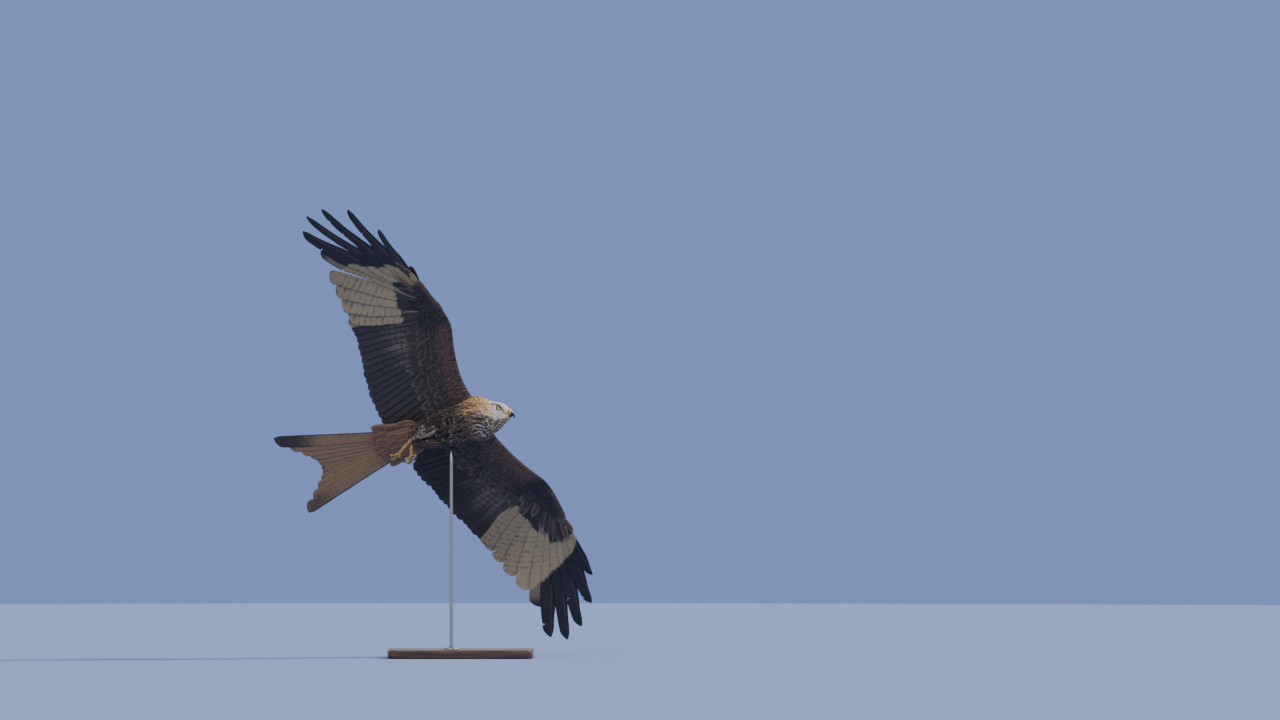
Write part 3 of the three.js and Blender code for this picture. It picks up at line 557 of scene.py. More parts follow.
def body_spots(rng, first, last, look):
    """Roots of body feathers from one distance behind the bill to another."""
    spots = {key: [] for key in ("v", "a", "length", "width")}
    front, shift = first, 0.0
    while front < last:
        step, length, width = FEATHER_SIZE(front)
        v = BODY_SURFACE.length - front
        around = BODY_SURFACE.read(BODY_SURFACE.stretch, np.array([v]), np.array([0.4]))[0, 1]
        count = int(2 * np.pi * around / (0.55 * width) * look.density)
        a = (np.arange(count) + shift) / count * 2 * np.pi
        shift = 0.5 - shift
        jitter = rng.uniform(-0.35, 0.35, (2, count))
        spots["a"].append(a + jitter[0] * 2 * np.pi / count)
        spots["v"].append(v + jitter[1] * step)
        spots["length"].append(length * rng.uniform(0.85, 1.18, count))
        spots["width"].append(width * rng.uniform(0.88, 1.14, count))
        front += step
    return {key: np.concatenate(value) for key, value in spots.items()}


FEATHER_SIZE = lookup([
    [0, 1.3, 4.2, 1.9], [14, 1.8, 6.5, 2.7], [36, 2.6, 10.5, 3.9], [54, 3.8, 18, 5.6], [72, 5, 27, 7.6],
    [100, 6.4, 33, 11.5], [130, 7.8, 38, 16], [200, 8.6, 41, 18.5], [310, 8.8, 42, 18],
])
# Fluffed whitish down shows on the flank: distance behind the bill, angle, spread of each
DOWN_PATCH = (205, 3.9, 26, 0.25)
# The nape's feathers stand off by this much, in millimetres
NAPE_LIFT = 6.0
# Hollow of a body feather across its width, and spread of its sideways bend along its length
FEATHER_CUP, FEATHER_BEND = 0.07, 0.04
# Middle and rim of the chin's feathers, painted dark as shade under the bill
SHADED_CHIN_CORE, SHADED_CHIN_RIM = "3a3532", "7d766c"


def body_feathers(rng, first, last, look):
    """Everything that leaves() needs for a stretch of the body."""
    raw = body_spots(rng, first, last, look)
    v, a = raw["v"], raw["a"]
    roots = BODY_SURFACE.read(BODY_SURFACE.points, v, a)
    q = in_head(roots)
    side = np.abs(q[:, 1])
    eye = np.hypot(q[:, 0] - EYE_PLACE[0] - 0.35 * raw["length"], q[:, 2] - EYE_PLACE[2])
    clear = (eye > 7.4) | (side < 9)
    front = BODY_SURFACE.length - v
    clear &= front > 0.5
    raw = {key: value[clear] for key, value in raw.items()}
    v, a, q, front = v[clear], a[clear], q[clear], front[clear]
    count = len(v)
    stretch = BODY_SURFACE.read(BODY_SURFACE.stretch, v, a)
    sweep = rng.normal(0, 0.09, count) + 0.16 * np.cos(a) * np.sin(a) * smooth((front - 60) / 60)
    cos, sin = np.cos(sweep), np.sin(sweep)
    along = np.stack([-cos / stretch[:, 0], sin / stretch[:, 1]], axis=-1)
    across = np.stack([sin / stretch[:, 0], cos / stretch[:, 1]], axis=-1)
    core, rim = plumage(front, a, q)
    breast = smooth((front - 90) / 30) * smooth((215 - front) / 60) * smooth((-np.sin(a) - 0.1) / 0.5)
    strand = strands(q) + rng.normal(0, 0.35, count)
    throat = shaded_throat_share(q) * (1 - smooth((front - 50) / 40))
    streaked = (rng.random(count) < 0.22 * breast)[:, None]
    rim = np.where(streaked, PALE_STREAK * rng.uniform(0.7, 1.1, (count, 1)), rim)
    light = (throat * (strand > 0.9))[:, None]
    core, rim = mix(core, THROAT_STREAK * 0.35, 0.8 * light), mix(rim, THROAT_STREAK, light)
    at, turn, reach, spread = DOWN_PATCH
    down = np.exp(-(((front - at) / reach) ** 2) - ((np.mod(a, 2 * np.pi) - turn) / spread) ** 2)
    down = (rng.random(count) < 0.8 * down)[:, None] * rng.uniform(0.25, 0.7, (count, 1))
    core, rim = mix(core, PALE_STREAK * 0.6, 0.7 * down), mix(rim, DOWN_WHITE, down)
    tone = rng.normal(1, mix(0.1, 0.18, smooth((front - 45) / 20)), count)[:, None]
    stranded = np.maximum(smooth((front - 34) / 18), shaded_throat_share(q)) * (1 - smooth((front - 140) / 80))
    tone = tone * np.clip(1 + 0.36 * strand * stranded, 0.25, 1.6)[:, None]
    nape = smooth((np.sin(a) - 0.2) / 0.5) * smooth((front - 48) / 22) * (1 - smooth((front - 98) / 30))
    depth = COAT_DEPTH(front)
    streak = mix(0.2, 0.5, smooth((front - 30) / 90)) + rng.normal(0, 0.07, count)
    streak = np.where(streaked[:, 0], streak + 0.18, streak)
    return {
        "root": np.stack([v, a], axis=-1), "along": along, "across": across,
        "length": raw["length"], "width": raw["width"],
        "low": -0.85 * depth, "high": 0.1 * depth + rng.normal(0, 0.06, count) * depth + NAPE_LIFT * nape,
        "cup": np.full(count, FEATHER_CUP), "bend": rng.normal(0, FEATHER_BEND, count),
        "bake": np.stack([round_share(a), v / BODY_SURFACE.length], axis=-1) * 0.98 + 0.01,
        "core": in_range(core * tone), "rim": in_range(rim * tone), "streak": streak,
    }


def chin_feathers(rng):
    """Everything that leaves() needs for the chin."""
    keys = {"root": [], "radius": []}
    for x in np.arange(CHIN[-1][0] + 0.6, CHIN[0][0] + 2, -1.25):
        radius = float(lookup(CHIN)(np.array(x))[1:].mean())
        count = int(2 * np.pi * radius / 1.15)
        a = (np.arange(count) + rng.uniform(0, 1)) / count * 2 * np.pi
        keys["root"].append(np.stack([x + rng.uniform(-0.5, 0.5, count), a], axis=-1))
        keys["radius"].append(np.full(count, max(radius, 2.0)))
    root, radius = (np.concatenate(keys[k]) for k in ("root", "radius"))
    count = len(root)
    spread = 1 + 0.35 * rng.normal(size=count) * (root[:, 0] > 33)
    q = np.stack([root[:, 0], radius * np.cos(root[:, 1]), -20 + radius * np.sin(root[:, 1])], axis=-1)
    light = (strands(q) + rng.normal(0, 0.5, count) > 0.7)[:, None]
    tone = rng.normal(1, 0.14, (count, 1))
    # The chin's core and rim are painted shade under the bill; the light strands are its pale streaks
    core = np.where(light, THROAT_STREAK * 0.35, linear(SHADED_CHIN_CORE))
    rim = np.where(light, THROAT_STREAK, linear(SHADED_CHIN_RIM))
    return {
        "root": root, "along": np.tile([-1.0, 0], (count, 1)),
        "across": np.stack([np.zeros(count), 1 / radius], axis=-1),
        "length": rng.uniform(4.6, 6.6, count) * spread, "width": rng.uniform(1.7, 2.3, count),
        "low": np.full(count, -0.8), "high": rng.uniform(-0.1, 0.35, count),
        "cup": np.full(count, FEATHER_CUP), "bend": rng.normal(0, FEATHER_BEND, count),
        "bake": np.stack([round_share(root[:, 1]), np.full(count, 0.995)], axis=-1) * 0.98 + 0.01,
        "core": core * tone, "rim": in_range(rim * tone), "streak": rng.normal(0.3, 0.06, count),
    }


# Wing plan: x forward and y outward from the shoulder joint, as in the solids. Edges are rows of
# outward and forward, feather tips run from the wrist outward, and slots part the outer five.
WING_PLANS = {
    "left": {
        "hand_swing": 3.0, "hand_tip": (54, 346), "bow": 0.0,
        "front": [
            [-30, 24], [0, 24], [60, 26], [100, 31.5], [140, 39], [180, 50],
            [215, 62], [240, 70], [265, 72], [300, 67.5], [346, 60.5], [380, 55],
        ],
        "rear": [[0, -226], [60, -226], [100, -219], [150, -214], [200, -208], [250, -196], [300, -187]],
        "tips": [
            [-182, 351], [-180, 395], [-173, 446], [-159, 500], [-148, 560],
            [-167, 649], [-136, 685], [-86, 677], [-28, 634], [18, 564],
        ],
        "fingers": [
            [0.77, 1, 1.3], [0.66, 0.95, 1.15], [0.77, 0.65, 1.1], [0.77, 0.6, 1.05], [0.85, 0.45, 0.7],
        ],
        "inner": ["primary"] * 5,
    },
    "right": {
        "hand_swing": 0.6, "hand_tip": (46, 346), "bow": -0.03,
        "front": [
            [-30, 17], [0, 16], [40, 14.5], [80, 18], [120, 28.5], [160, 42],
            [200, 58.5], [222, 62], [260, 60], [300, 54.5], [346, 48], [380, 42],
        ],
        "rear": [[0, -246], [80, -246], [130, -240], [160, -233], [200, -223], [250, -209], [300, -193]],
        "tips": [
            [-181, 363], [-179, 404], [-169, 451], [-158, 501], [-146, 571],
            [-156, 650], [-129, 680], [-86, 674], [-28, 634], [16, 541],
        ],
        "fingers": [
            [0.78, 0.6, 0.95], [0.52, 0.8, 0.65], [0.57, 0.95, 0.63], [0.57, 0.85, 0.65],
            [0.6, 0.7, 0.5],
        ],
        "inner": ["primary"] * 3 + ["aside", "parted"],
    },
}
CORE_REAR = lookup([[-30, -92], [0, -88], [122, -60], [200, -22], [252, 10], [346, 24], [380, 38]])
CORE_THICKNESS = lookup([[-30, 40], [0, 38], [122, 29], [252, 16], [346, 7], [380, 3]])
SHOULDER_SIDE, SHOULDER_UP = 45.0, 30.0
WING_SWING = 7.5
ELBOW, WRIST = np.array([-24.0, 123]), np.array([52.0, 252])
# Rise of the wing's plane along its length, by the length, its square (a fall) and its cube
WING_RISE = (0.25, 3.057e-4, 1.888e-7)
CAMBER, CAMBER_CHORD = 9.0, 250.0
TWIST = 0.33
PRIMARIES, SECONDARIES, TERTIALS, SCAPULARS = 10, 13, 4, 4
PRIMARY_SLOPE, SECONDARY_SLOPE, FINGER_SLOPE = 0.095, 0.08, -0.25
VANE_BOW = 0.025
# Share of a feather's length over which its tip rounds off
FINGER_END, FEATHER_END = 0.07, 0.055
# Vane outlines: share of the length, leading width, trailing width
OUTLINES = {
    "primary": [[0, 2, 2.5], [0.16, 8, 15], [0.6, 14, 32], [0.93, 15, 32], [1, 11, 20]],
    "parted": [[0, 2, 2.5], [0.16, 8, 15], [0.6, 14, 22], [0.76, 13, 26], [0.93, 12, 18], [1, 8, 9]],
    "aside": [[0, 2, 2.5], [0.16, 8, 15], [0.5, 8, 30], [0.93, 8, 32], [1, 6, 20]],
    "secondary": [[0, 2, 2.5], [0.2, 11, 18], [0.93, 14, 23], [1, 10, 16]],
    "tertial": [[0, 2, 2.5], [0.3, 13, 20], [0.9, 14, 22], [1, 9, 14]],
    "scapular": [[0, 2, 2.5], [0.35, 13, 15], [0.78, 12, 14], [1, 5, 5]],
}


def slotted_outline(slot, leading, trailing):
    return [
        [0, 5, 8], [slot - 0.14, mix(7, 13, leading), 30], [slot + 0.03, 11 * leading, 22 * trailing],
        [mix(slot, 1, 0.42), 8.5 * leading, 20 * trailing], [mix(slot, 1, 0.82), 7.5 * leading, 16 * trailing],
        [1, 4 * leading, 9 * trailing],
    ]


# The pale window of the hand below: forward, where it starts outward and where it ends
WINDOWS = {
    "left": [
        [-200, 305, 503], [-175, 300, 505], [-150, 292, 508], [-125, 281, 504], [-100, 271, 500],
        [-75, 268, 494], [-55, 268, 491], [-46, 285, 490], [-42, 345, 488], [-32, 395, 485],
        [-25, 418, 481], [0, 421, 475], [20, 424, 461], [40, 421, 442],
    ],
    "right": [
        [-200, 322, 498], [-175, 318, 500], [-150, 305, 498], [-125, 293, 490], [-100, 285, 490],
        [-75, 272, 464], [-60, 275, 455], [-52, 300, 450], [-45, 330, 447], [-38, 350, 446],
        [-30, 384, 443], [-20, 382, 440], [0, 375, 429], [15, 367, 403], [38, 355, 378],
    ],
}


def turned(x, y, centre, angle):
    """A plan's points turned about a centre."""
    dx, dy = x - centre[0], y - centre[1]
    cos, sin = np.cos(angle), np.sin(angle)
    return centre[0] + dx * cos - dy * sin, centre[1] + dx * sin + dy * cos


class Wing:
    """One wing: its place in the bird, its flight feathers and the height of its coat."""

    def __init__(self, name):
        self.name = name
        self.side = 1 if name == "left" else -1
        plan = WING_PLANS[name]
        self.front = lookup(plan["front"])
        self.window_limits = lookup(WINDOWS[name])
        self.hand_swing, self.bow = plan["hand_swing"], plan["bow"]
        self.hand_tip = np.array(plan["hand_tip"], float)
        trailing = lookup(plan["rear"])
        rng = np.random.default_rng(21 if name == "left" else 22)
        found = []
        for n in range(PRIMARIES - 1, -1, -1):
            root = mix(WRIST + [0, 6], self.hand_tip, n / (PRIMARIES - 1)) - [8, 0]
            outer = n - len(plan["inner"])
            finger = plan["fingers"][outer] if outer >= 0 else None
            rows = slotted_outline(*finger) if finger else OUTLINES[plan["inner"][n]]
            found.append(("primary", n, root, plan["tips"][n], rows, finger and finger[0]))
        for n in range(SECONDARIES):
            root = mix(WRIST + [-10, 0], ELBOW + [-8, 0], (n + 0.2) / SECONDARIES)
            y = 342 - n * 19.6
            tip = (trailing(y) + rng.uniform(-2, 2), y)
            found.append(("secondary", n, root, tip, OUTLINES["secondary"], None))
        for n in range(TERTIALS):
            y = 86 - n * 20
            root = ELBOW + [-14 - 3 * n, -14 - 17 * n]
            found.append(("tertial", n, root, (trailing(y), y), OUTLINES["tertial"], None))
        for n in range(SCAPULARS):
            tip = (plan["rear"][0][1] + 6 + 10 * n, 12 - 12 * n)
            found.append(("scapular", n, (-52, 36 - 13 * n), tip, OUTLINES["scapular"], None))
        self.feathers = found
        self.roots, self.tips = (np.array([f[k] for f in found], float) for k in (2, 3))

    def place(self, x, y, z):
        x, y, z = np.broadcast_arrays(np.asarray(x, float), np.asarray(y, float), np.asarray(z, float))
        behind = np.maximum(0, self.front(y) - x) / CAMBER_CHORD
        s = np.maximum(0, y)
        height = z + WING_RISE[0] * s - WING_RISE[1] * s**2 + WING_RISE[2] * s**3
        height = height + CAMBER * 4 * behind * (1 - behind)
        height = height - TWIST * smooth((y - 360) / 300) * np.maximum(0, 30 - x)
        hand = -np.radians(self.side * self.hand_swing) * smooth((y - 200) / 120)
        px, py = turned(x, y, WRIST, hand)
        px, py = turned(px, py, (0, 0), -np.radians(self.side * WING_SWING))
        return np.stack([px, self.side * (SHOULDER_SIDE + py), SHOULDER_UP + height], axis=-1)

    def window(self, x, y, edge=7.0):
        """1 inside the pale window of the underside, 0 outside it."""
        limits = self.window_limits(x)
        return smooth((y - limits[..., 0]) / edge + 0.5) * smooth((limits[..., 1] - y) / edge + 0.5)

    def coat(self, x, y, layer):
        """Height of the arm and hand over the plane of the flight feathers, above (1) or below (-1)."""
        front, rear, thick = self.front(y), CORE_REAR(y), CORE_THICKNESS(y)
        share = np.clip((x - rear) / (front - rear), 0, 1)
        core = thick / 2 * 2 * np.sqrt(share * (1 - share)) * (0.3 + 0.7 * smooth(share * 1.3))
        core = core + layer * 0.06 * thick
        behind = np.clip((rear + 15 - x) / 115, 0, 1)
        cover = (0.9 + 2.6 * (1 - smooth(behind))) * np.sqrt(np.clip((front + 1 - x) / 10, 0.02, 1))
        return (np.maximum(core, 0) ** 4 + cover**4) ** 0.25

    def surface(self, layer):
        def at(x, y, height):
            return self.place(x, y, layer * (self.coat(x, y, layer) + height))

        return at


def outline_widths(rows, end):
    """Leading and trailing widths of a feather along its length, rounded off at its tip."""
    read = lookup(rows)

    def at(t):
        return read(t) * np.sqrt(np.clip(1 - (np.clip(t - 1 + end, 0, 1) / end) ** 2, 0.0004, 1))[:, None]

    return at


# Columns across a vane, from its leading to its trailing edge. SHAFT marks the foot of the raised
# shaft on each side, and STATIONS is the least number of rows along the vane.
COLUMNS = np.array([-1, -0.8, -0.5, -0.22, 0, 0, 0, 0.16, 0.34, 0.52, 0.7, 0.87, 1])
SHAFT = np.array([0, 0, 0, 0, -1, 0, 1, 0, 0, 0, 0, 0, 0])
STATIONS = 46


# Thickness of a vane by its shaft and at its edge, and how far along it its splits may start
VANE_MIDDLE, VANE_EDGE = 0.5, 0.3
SPLIT_RANGE = (0.45, 0.93)


def quill(place, root, tip, widths_at, rng, bow, slope, lead_side, splits, shaft, lift=0.0, free=None):
    """A flight feather: a closed vane with a raised shaft and a few splits in its rear web.

    A finger twists beyond its slot, where it is free of its neighbours.
    """
    t = np.linspace(0, 1, STATIONS)
    t = np.concatenate([t, [0.975, 0.99]])
    gaps = rng.uniform(*SPLIT_RANGE, splits)
    for g in gaps:
        t = np.concatenate([t, [g - 0.006, g, g + 0.006]])
    t = np.unique(np.clip(t, 0, 1))
    way = tip - root
    length = np.hypot(*way)
    lead = np.array([-way[1], way[0]]) / length * lead_side
    bend, turn = 4 * t * (1 - t) * bow * length, 4 * (1 - 2 * t) * bow
    middle = root + way * t[:, None] + lead * bend[:, None]
    across = unit(lead - way * (turn / length)[:, None])
    widths = widths_at(t)
    column = COLUMNS[None]
    wide = np.where(column < 0, -column * widths[:, :1], -column * widths[:, 1:])
    for g, deep in zip(gaps, rng.uniform(0.12, 0.4, splits)):
        notch = np.exp(-(((t - g) / 0.004) ** 2))[:, None] * deep
        wide = wide * (1 - notch * smooth((column - 0.5) / 0.5))
    radius = np.maximum(mix(shaft, 0.25, t**0.7), 0.25)[:, None]
    wide = wide - SHAFT[None] * radius * 0.9
    ruffle = 0.35 * np.sin(t[:, None] * 37 + column * 5 + rng.uniform(0, 6)) * np.abs(column) ** 2
    ruffle = ruffle + 0.5 * rng.normal() * column * np.abs(column) * t[:, None]
    web = np.abs(column)
    thick = np.where(SHAFT[None] == 0, mix(VANE_MIDDLE, VANE_EDGE, web), VANE_MIDDLE) / 2
    thick = thick + (COLUMNS == 0)[None] * radius * 0.15
    thick = thick + ((COLUMNS == 0) & (SHAFT == 0))[None] * radius * 0.45
    if free:
        slope = mix(slope, FINGER_SLOPE, smooth((t - free) / (1 - free)))[:, None]
    height = lift + slope * wide + ruffle
    plan = middle[:, None] + across[:, None] * wide[..., None]
    layers = [place(plan[..., 0], plan[..., 1], height + k * thick) for k in (1, -1)]
    rows, columns = len(t), len(COLUMNS)
    loop = np.concatenate([layers[0], layers[1][:, ::-1]], axis=1)
    share = (COLUMNS + 1) / 2
    vane = np.stack([
        np.broadcast_to(np.concatenate([share, share[::-1]])[None], (rows, 2 * columns)),
        np.broadcast_to(t[:, None], (rows, 2 * columns)),
    ], axis=-1)
    above = np.broadcast_to(np.repeat([1.0, 0.0], columns), (rows, 2 * columns))
    return loop, vane, above, np.concatenate([plan, plan[:, ::-1]], axis=1), length


def flight_piece(name, quills, material, slot, mirrored):
    """One object from flight feathers, each with its own strips of the bake map, above and below."""
    parts, vane, bake, fields = [], [], [], {key: [] for key in ("core", "rim", "show", "bars", "size")}
    count = len(quills)
    for k, (made, look) in enumerate(quills):
        loop, uv, above, plan, length = made
        points, faces = tube_piece(loop)
        if mirrored:
            faces = turned_over(faces)
        parts.append((points, faces))
        flat = np.concatenate([uv.reshape(-1, 2), [[0.5, 0], [0.5, 1]]])
        top = np.concatenate([above.reshape(-1), [1, 1]])
        spots = np.concatenate([plan.reshape(-1, 2), plan[0, :1], plan[-1, :1]])
        vane.append(flat)
        strip = (k + 0.08 + 0.84 * flat[:, 0]) / count / 2
        bake.append(np.stack([strip + 0.5 * top, 0.01 + 0.98 * flat[:, 1]], axis=-1))
        values = (*look(flat[:, 0], flat[:, 1], top, spots), np.full(len(flat), length / 100))
        for rows, value in zip(fields.values(), values):
            rows.append(value)
    points, faces = joined(parts)
    colours = {key: np.concatenate(value) for key, value in fields.items()}
    uvs = {"Vane": np.concatenate(vane), "OFBake": np.concatenate(bake)}
    return mesh_piece(name, points, faces, material, slot, colours, uvs)


# Flight feather colours
FINGER_BELOW = shade("1f1f26")
QUILL_BELOW = shade("2d2a2d")
MIDDLE_BELOW = shade("6e625a")
PALE_BELOW = shade("8e7f65")
DIM_PALE_BELOW = shade("5d5753")
BLACK_ABOVE = shade("1f1b1a")
BROWN_ABOVE = shade("3a2d26")
PALE_ABOVE = shade("6f6258")


def wing_look(wing, kind, n, rng):
    """Colours of one flight feather along and across it, above and below."""
    tone = rng.uniform(0.92, 1.08)
    primary = kind == "primary"
    above_core = mix(BROWN_ABOVE, BLACK_ABOVE, 1.0 if primary else 0.35) * tone
    above_rim = (PALE_ABOVE if primary and n < 5 else BROWN_ABOVE) * tone
    below_core = (FINGER_BELOW if primary and n > 4 else QUILL_BELOW) * tone
    if primary and n == 4:
        below_core = MIDDLE_BELOW * tone
    # The left wing's pale parts are painted lighter than the right's, to make up for the shade the left wing
    # lies in
    painted_light_by_side = 1.12 if wing.name == "left" else 0.96
    glow, shift = rng.uniform(0.45, 1.25), rng.normal(0, 5.0)

    def look(u, v, top, spots):
        count = (len(u), 1)
        web = np.abs(2 * u - 1)
        rear = (u > 0.5) * web
        x, y = spots[:, 0], spots[:, 1]
        pale = wing.window(x + shift, y)
        edge = smooth((web - 0.8) / 0.15)
        dusky = glow * np.exp(-(((x + 90 + 2 * shift) / 42) ** 2)) * smooth((y - 100) / 60) * (not primary)
        show_below = pale * (0.95 - 0.2 * edge) * (1 - 0.4 * smooth((v - 0.93) / 0.06))
        show_below = np.maximum(show_below, (0.16 + 0.34 * dusky) * (1 - 0.35 * edge) * (not primary))
        fade = smooth((v - 0.86) / 0.12)
        core_below = mix(below_core * np.ones(count), QUILL_BELOW * 1.5, (pale * (1 - fade))[:, None])
        if primary and n == 4:
            core_below = mix(core_below, FINGER_BELOW, smooth((v - 0.88) / 0.1)[:, None])
        rim_below = mix(DIM_PALE_BELOW * np.ones(count), PALE_BELOW * painted_light_by_side, pale[:, None]) * tone
        bars_below = mix(0.25, 0.6 if painted_light_by_side < 1 else 0.45, smooth((-50 - x) / 60)) * smooth((505 - y) / 70)
        bars_below = np.maximum(bars_below, 0.7 * (1 - pale) * (not primary))
        show_above = 0.35 * rear * (1 - smooth((v - 0.7) / 0.3))
        pick = top[:, None]
        return (
            mix(core_below, above_core, pick), mix(rim_below, above_rim, pick),
            mix(show_below, show_above, top), mix(bars_below, 0.5, top),
        )

    return look


def flight_feathers(wing, material):
    rng = np.random.default_rng(31 if wing.name == "left" else 32)
    quills = []
    for kind, n, root, tip, rows, free in wing.feathers:
        primary = kind == "primary"
        made = quill(
            wing.place, np.array(root, float), np.array(tip, float),
            outline_widths(rows, FINGER_END if free else FEATHER_END), rng,
            bow=wing.bow if primary else VANE_BOW, slope=PRIMARY_SLOPE if primary else SECONDARY_SLOPE,
            lead_side=-1, splits=int(rng.integers(1, 4)), shaft=1.9 if primary else 1.4, free=free,
        )
        quills.append((made, wing_look(wing, kind, n, rng)))
    return flight_piece(f"Flight_{wing.name}", quills, material, "wing_brown", wing.side < 0)


# Covert rows from the trailing side to the leading edge: share of the way forward from the feather
# roots, count along the wing, length and width at the body, length and width on the hand
COVERT_ROWS = [
    [0.0, 34, 0, 26, 0, 17],
    [0.1, 40, 66, 22, 46, 13],
    [0.22, 46, 52, 19, 34, 11],
    [0.34, 52, 42, 16, 26, 9.5],
    [0.46, 56, 36, 14.5, 22, 8.5],
    [0.58, 58, 32, 13.5, 19, 8],
    [0.69, 60, 28, 12.5, 17, 7.5],
    [0.79, 62, 26, 12, 15, 7],
    [0.88, 64, 23, 11, 14, 6.5],
    [0.95, 66, 20, 10, 13, 6],
    [1.0, 70, 17, 9, 11, 5.5],
]
# The inmost covert lies over the shoulder: its root, and its tip from that of its neighbour
SHOULDER_ROOT, SHOULDER_TIP = (-50.0, -30.0), (60.0, -26.0)
UNDER_DARK, UNDER_DARK_RIM = (shade(c) for c in ("363131", "514945"))
UNDER_LEAD, UNDER_LEAD_RIM = (shade(c) for c in ("433636", "6d5246"))
CARPAL, CARPAL_RIM = (shade(c) for c in ("27252a", "38353a"))
MOTTLE, MOTTLE_RIM = (shade(c) for c in ("423c3b", "71675e"))
# Peach rim of sunlight along the underwing's leading edge, painted into the coverts' colour
LEADING_EDGE_RIM_LIGHT = shade("d39f72")


def under_covert_colours(wing, spots, share, rng):
    """Middle and rim colours of under coverts by their place on the wing, with painted light: a rim of light on
    the leading edge and a lighter left wing.
    """
    x, y = spots[:, 0], spots[:, 1]
    count = len(x)
    behind = wing.front(y) - x
    arm = 1 - smooth((y - 215) / 40)
    core, rim = UNDER_DARK * np.ones((count, 1)), UNDER_DARK_RIM * np.ones((count, 1))
    leading = (1 - smooth((behind - 35) / 35)) * mix(0.15, 1.0, arm)
    core, rim = mix(core, UNDER_LEAD, leading[:, None]), mix(rim, UNDER_LEAD_RIM, leading[:, None])
    carpal = smooth((y - 205) / 30) * smooth((behind - 4) / 10) * smooth((360 - y) / 25) * smooth((x + 28) / 16)
    slope = -40 + 0.6 * (y - 150)
    inner = np.exp(-(((x - slope) / 34) ** 2)) * smooth((y - 90) / 40) * arm
    black = np.clip(carpal + 0.45 * inner, 0, 1)[:, None]
    core, rim = mix(core, CARPAL, black), mix(rim, CARPAL_RIM, black)
    # Painted rim light: the coverts on the leading edge turn peach, most on the arm
    edge = ((1 - smooth((behind - 4) / 8)) * mix(0.1, 1.0, arm))[:, None]
    core, rim = mix(core, LEADING_EDGE_RIM_LIGHT * 0.6, edge), mix(rim, LEADING_EDGE_RIM_LIGHT, edge)
    band = smooth((y - 245) / 15) * smooth((365 - y) / 20) * smooth((-4 - x) / 14)
    wrist = smooth((y - 352) / 18) * smooth((432 - y) / 20)
    middle = smooth((-45 - x) / 20) * smooth((y - 90) / 50) * arm
    chance = np.clip(0.75 * band + 0.6 * wrist + 0.4 * middle, 0, 1)
    mottled = (rng.random(count) < chance)[:, None] * rng.uniform(0.2, 0.6, (count, 1))
    core, rim = mix(core, MOTTLE, mottled), mix(rim, MOTTLE_RIM, mottled)
    pale = wing.window(x, y, 16.0)[:, None] * (share < 0.75)
    # The left wing's coverts are painted lighter, to make up for the shade the left wing lies in
    lift = 1.22 if wing.name == "left" else 1.0
    return mix(core * lift, PALE_BELOW * 0.72, pale), mix(rim * lift, PALE_BELOW * 1.05, pale)


ABOVE_CORE = ramp((0, "2e231e"), (0.1, "3c2d23"), (0.3, "4b3829"), (0.5, "3d2c22"), (1, "33251d"))
ABOVE_RIM = ramp((0, "7b5f48"), (0.12, "94755a"), (0.3, "9c7c5e"), (0.5, "8a6244"), (1, "8a6448"))
TOP_HAND_CORE = ramp((0, "1e1a19"), (0.3, "211c1a"), (1, "2e241e"))
TOP_HAND_RIM = ramp((0, "3d322b"), (0.3, "4a3b30"), (1, "43352c"))


def wing_coverts(wing, layer, material):
    """The rows of small feathers over one face of a wing."""
    name = "Overwing" if layer > 0 else "Underwing"
    rng = np.random.default_rng({"left": 41, "right": 51}[wing.name] + layer)
    roots = np.vstack([wing.roots, SHOULDER_ROOT])
    tips = np.vstack([wing.tips, wing.tips[-1] + SHOULDER_TIP])
    last = len(roots) - 1
    groups = []
    index = np.arange(last + 1)

    def read(values, q):
        return np.stack([np.interp(q, index, values[:, k]) for k in (0, 1)], axis=-1)

    flip = (layer * wing.side) < 0
    for row, (share, count, long_arm, wide_arm, long_hand, wide_hand) in enumerate(COVERT_ROWS):
        q = np.linspace(0, last, count)
        q = np.clip(q + rng.uniform(-0.3, 0.3, count) * last / count, 0, last)
        base, tip = read(roots, q), read(tips, q)
        hand = smooth((PRIMARIES + 1 - q) / 4)
        front = np.stack([wing.front(base[:, 1]) - 0.5, base[:, 1] + 8 * share * hand], axis=-1)
        root = mix(base, front, share)
        way = unit(tip - base)
        rearward = unit(np.array([[-1.0, 0.25]]) + np.zeros((count, 2)))
        way = unit(mix(way, rearward, 0.75 * share))
        swing = rng.normal(0, 0.07, count)
        way = np.stack(turned(way[:, 0], way[:, 1], (0, 0), swing), axis=-1)
        across = np.stack([-way[:, 1], way[:, 0]], axis=-1) * (1 if layer > 0 else -1)
        if row == 0:
            length = np.linalg.norm(tip - base, axis=1) * mix(0.43, 0.32, hand)
        else:
            length = mix(long_arm, long_hand, hand)
        length = length * rng.uniform(0.93, 1.07, count)
        width = mix(wide_arm, wide_hand, hand) * rng.uniform(0.92, 1.1, count)
        if layer < 0:
            colours = under_covert_colours(wing, root + way * (0.75 * length)[:, None], share, rng)
        else:
            colours = [
                mix(arm(np.full(count, share)), top(np.full(count, share)), hand[:, None])
                for arm, top in ((ABOVE_CORE, TOP_HAND_CORE), (ABOVE_RIM, TOP_HAND_RIM))
            ]
        tone = rng.normal(1, 0.12, (count, 1))
        bake = (root - [-100, -60]) / 520
        groups.append(("covert" if row < 4 else "contour", wing.surface(layer), {
            "root": root, "along": way, "across": across, "length": length, "width": width,
            "low": np.full(count, -1.5),
            "high": (0.35 + rng.normal(0, 0.15, count)) * mix(1, 0.4, smooth(share * 4 - 3)),
            "cup": np.full(count, 0.035), "bend": rng.normal(0, 0.03, count),
            "bake": np.clip(bake, 0.01, 0.99), "flip": flip,
            "core": np.clip(colours[0] * tone, 0, 1), "rim": np.clip(colours[1] * tone, 0, 1),
            "streak": rng.normal(0.62, 0.07, count),
        }))
    return leaf_piece(f"{name}_{wing.name}", groups, material, "wing_brown")


